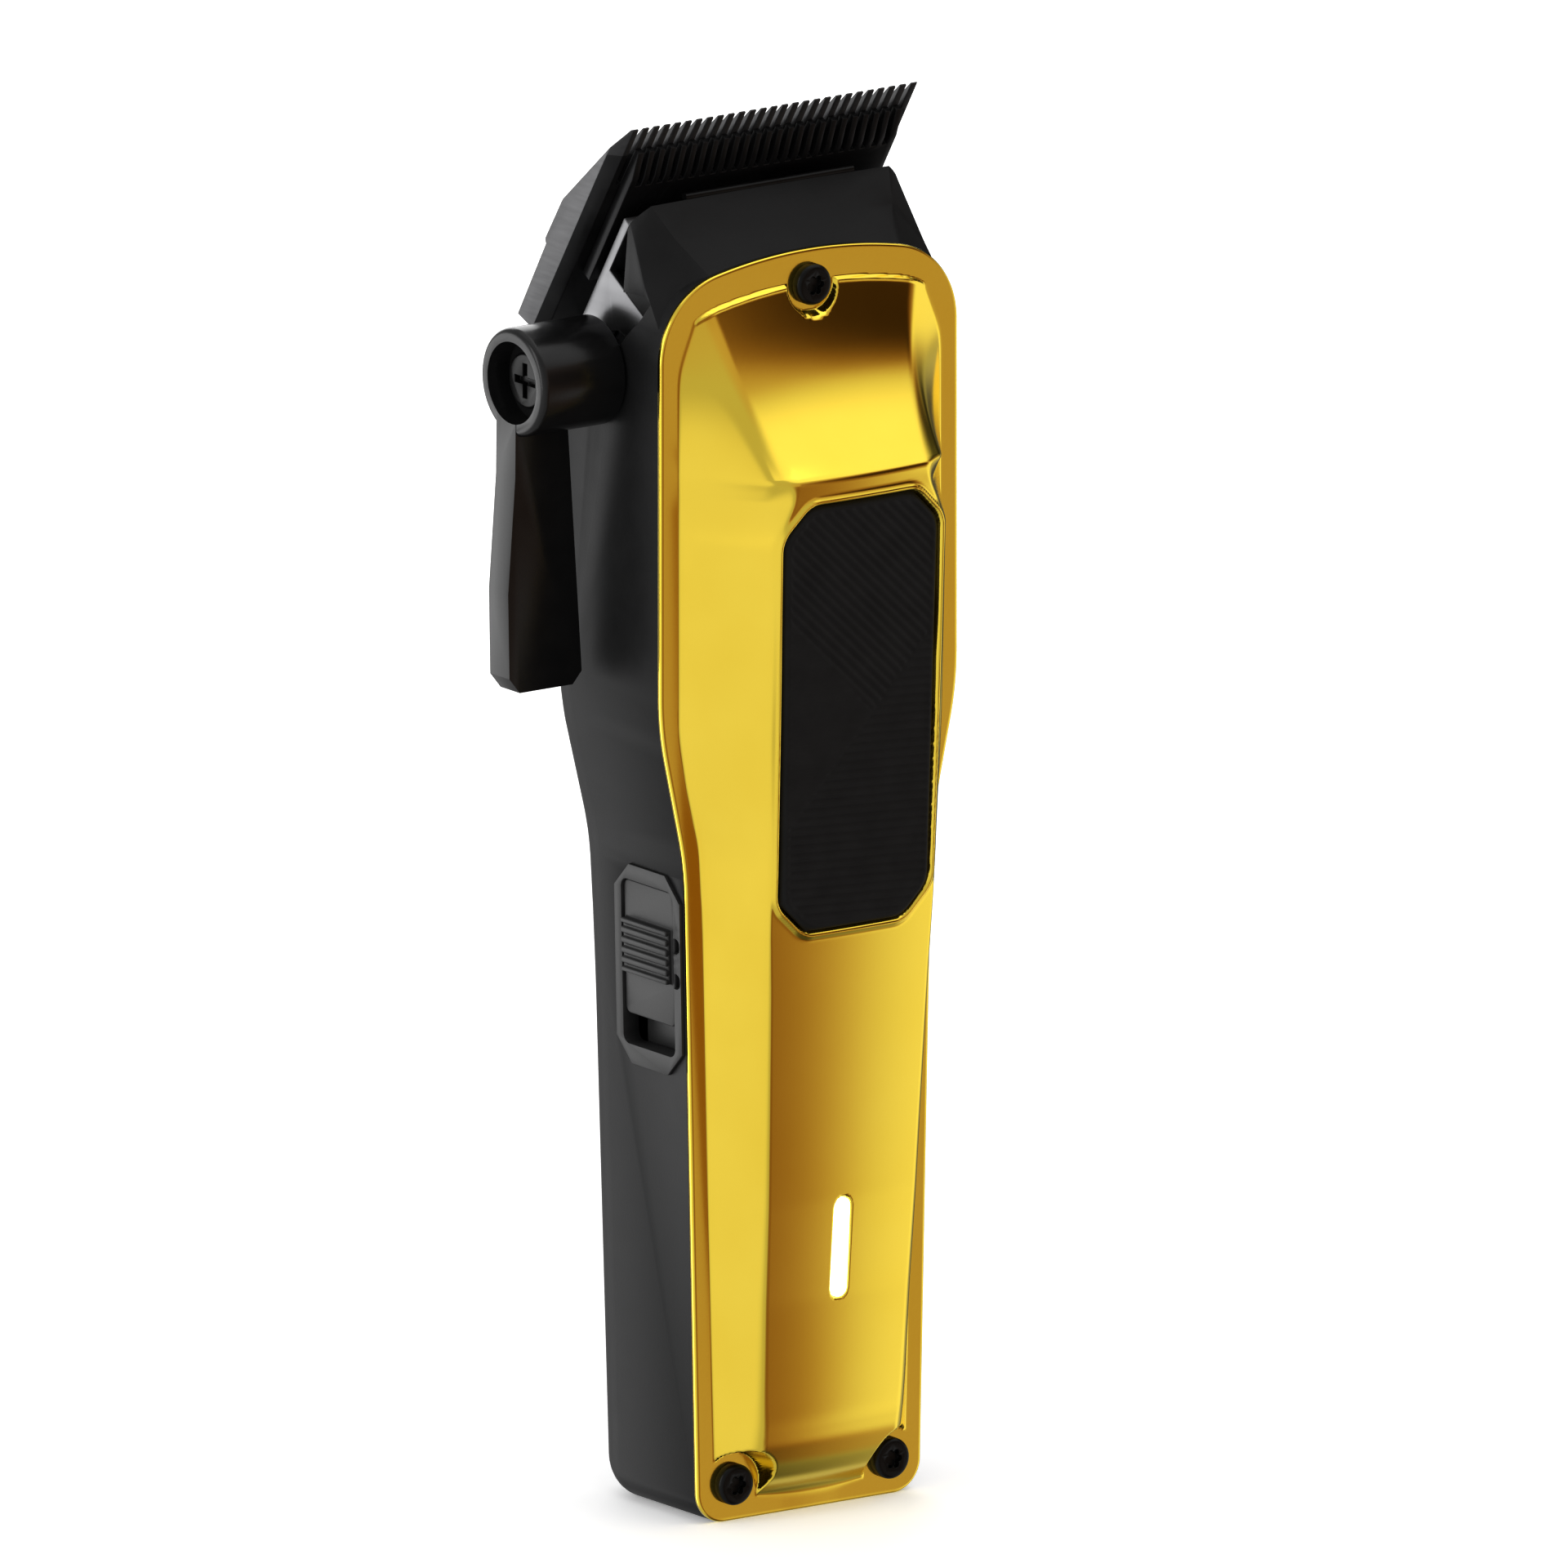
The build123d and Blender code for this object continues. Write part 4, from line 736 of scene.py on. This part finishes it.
def pad_relief(x, z):
    """Depth pattern of the pad: level ribs low down, slanting ribs high on the right, plain on the left."""
    level = 0.5 + 0.5 * np.cos(2 * math.pi * (z + 0.06 * x) / LEVEL_PITCH)
    slant = 0.5 + 0.5 * np.cos(2 * math.pi * (z + 0.95 * x) / SLANT_PITCH)
    middle = (pad_low.z + pad_high.z) / 2
    low_zone = np.clip((middle - 2 + 1.1 * x - z) / 0.8, 0, 1)
    right_zone = np.clip((z - (middle + 1.5 - 1.05 * x)) / 0.8, 0, 1) * (1 - low_zone)
    plain = (1 - low_zone) * (1 - right_zone)
    return RIB_DEPTH * (level * low_zone + slant * right_zone) + PLAIN_DEPTH * plain * level


def build_pad(finish):
    """Grip pad with its moulded ribs."""
    rows = np.linspace(0, 1, 330)
    columns = np.linspace(-1, 1, 90)
    foot, top = pad_low.z + 0.1, pad_high.z - 0.1
    z = foot + (top - foot) * np.repeat(rows[:, None], len(columns), axis=1)
    half = PAD_FOOT_HALF_W - 0.1 + PAD_WIDENING * (z - foot) / (top - foot)
    end = np.minimum(z - foot, top - z)
    half = half - np.clip(PAD_CUT - end, 0, None)
    x = half * columns[None, :]
    edge = -pad_distance(x, z)
    crown = 0.18 * (1 - (x / 12) ** 2)
    roll = 0.7 * (1 - np.clip(edge / 0.9, 0, 1)) ** 2
    fade = np.clip((edge - 0.7) / 0.6, 0, 1)
    height = pad_level(z) + crown - roll - pad_relief(x, z) * fade
    count_rows, count_columns = x.shape
    front = np.stack([x, RIM_Y - height, z], axis=-1).reshape(-1, 3)
    rear = np.stack([x, RIM_Y - (pad_level(z) - 0.9), z], axis=-1).reshape(-1, 3)
    faces = []
    start = len(front)
    for i in range(count_rows - 1):
        for j in range(count_columns - 1):
            a = i * count_columns + j
            faces.append((a, a + 1, a + count_columns + 1, a + count_columns))
            b = start + a
            faces.append((b, b + count_columns, b + count_columns + 1, b + 1))
    border = ring(count_rows, count_columns)
    for m in range(len(border)):
        n = (m + 1) % len(border)
        faces.append((border[m], start + border[m], start + border[n], border[n]))
    piece = add_mesh("grip_face", np.concatenate([front, rear]), faces, finish)
    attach(piece, "casing")
    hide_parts("thumb_pad")


# ---------------------------------------------------------------- floor
def build_floor():
    """Plain pale floor under the clipper."""
    half = 2.4
    data = bpy.data.meshes.new("floor")
    corners = [(-half, -half, 0), (half, -half, 0), (half, half, 0), (-half, half, 0)]
    data.from_pydata(corners, [], [(0, 1, 2, 3)])
    material, tree, shader = new_material("pale_floor")
    tone = noise(tree, 3.0)
    pale = two_tone(tree, tone, (0.955, 0.955, 0.955), (0.975, 0.975, 0.975))
    tree.links.new(pale, shader.inputs["Base Color"])
    shader.inputs["Roughness"].default_value = 0.9
    shader.inputs["Emission Color"].default_value = (1, 1, 1, 1)
    shader.inputs["Emission Strength"].default_value = 0.3
    data.materials.append(material)
    floor = bpy.data.objects.new("floor", data)
    floor.visible_glossy = False
    floor.visible_diffuse = False
    floor.visible_shadow = False
    bpy.context.collection.objects.link(floor)


# Pieces with rounded edges: node, body, finish, slot, width of the rounding in millimetres, segments
ROUNDED = [
    ("taper_lever", "lever", "lever", "black_lever", 0.45, 3, None),
    ("fixed_blade", "blade_carriage", "outer_blade", "black_blade", 0.12, 2, trim_tip),
    ("cutter_blade", "cutter", "blade", "black_cutter", 0.1, 2, None),
    ("switch_bezel", "casing", "trim", "black_trim", 0.2, 2, None),
    ("switch_slider", "power_button", "trim", "black_trim", 0.2, 2, None),
    ("blade_bracket", "blade_carriage", "bracket", "bare_steel", 0.15, 2, None),
    ("housing", "casing", "shell", "black_shell", 0.25, 2, None),
    ("lid_screws", "casing", "screw", "black_screw", 0.1, 2, None),
    ("lever_screw", "lever", "screw", "black_screw", 0.12, 2, None),
]


def main():
    """Build the whole scene."""
    bpy.context.scene.view_settings.view_transform = "Standard"
    bpy.context.scene.view_settings.gamma = 0.75
    add_camera()
    add_world()
    add_lights()
    build_floor()
    finishes = make_materials()
    finish_nodes(finishes)
    build_lid(finishes["gold"])
    build_pad(finishes["pad"])
    for node, body, finish, slot, width, segments, trim in ROUNDED:
        bevelled(node, body, finishes[finish], width, segments, trim)


main()
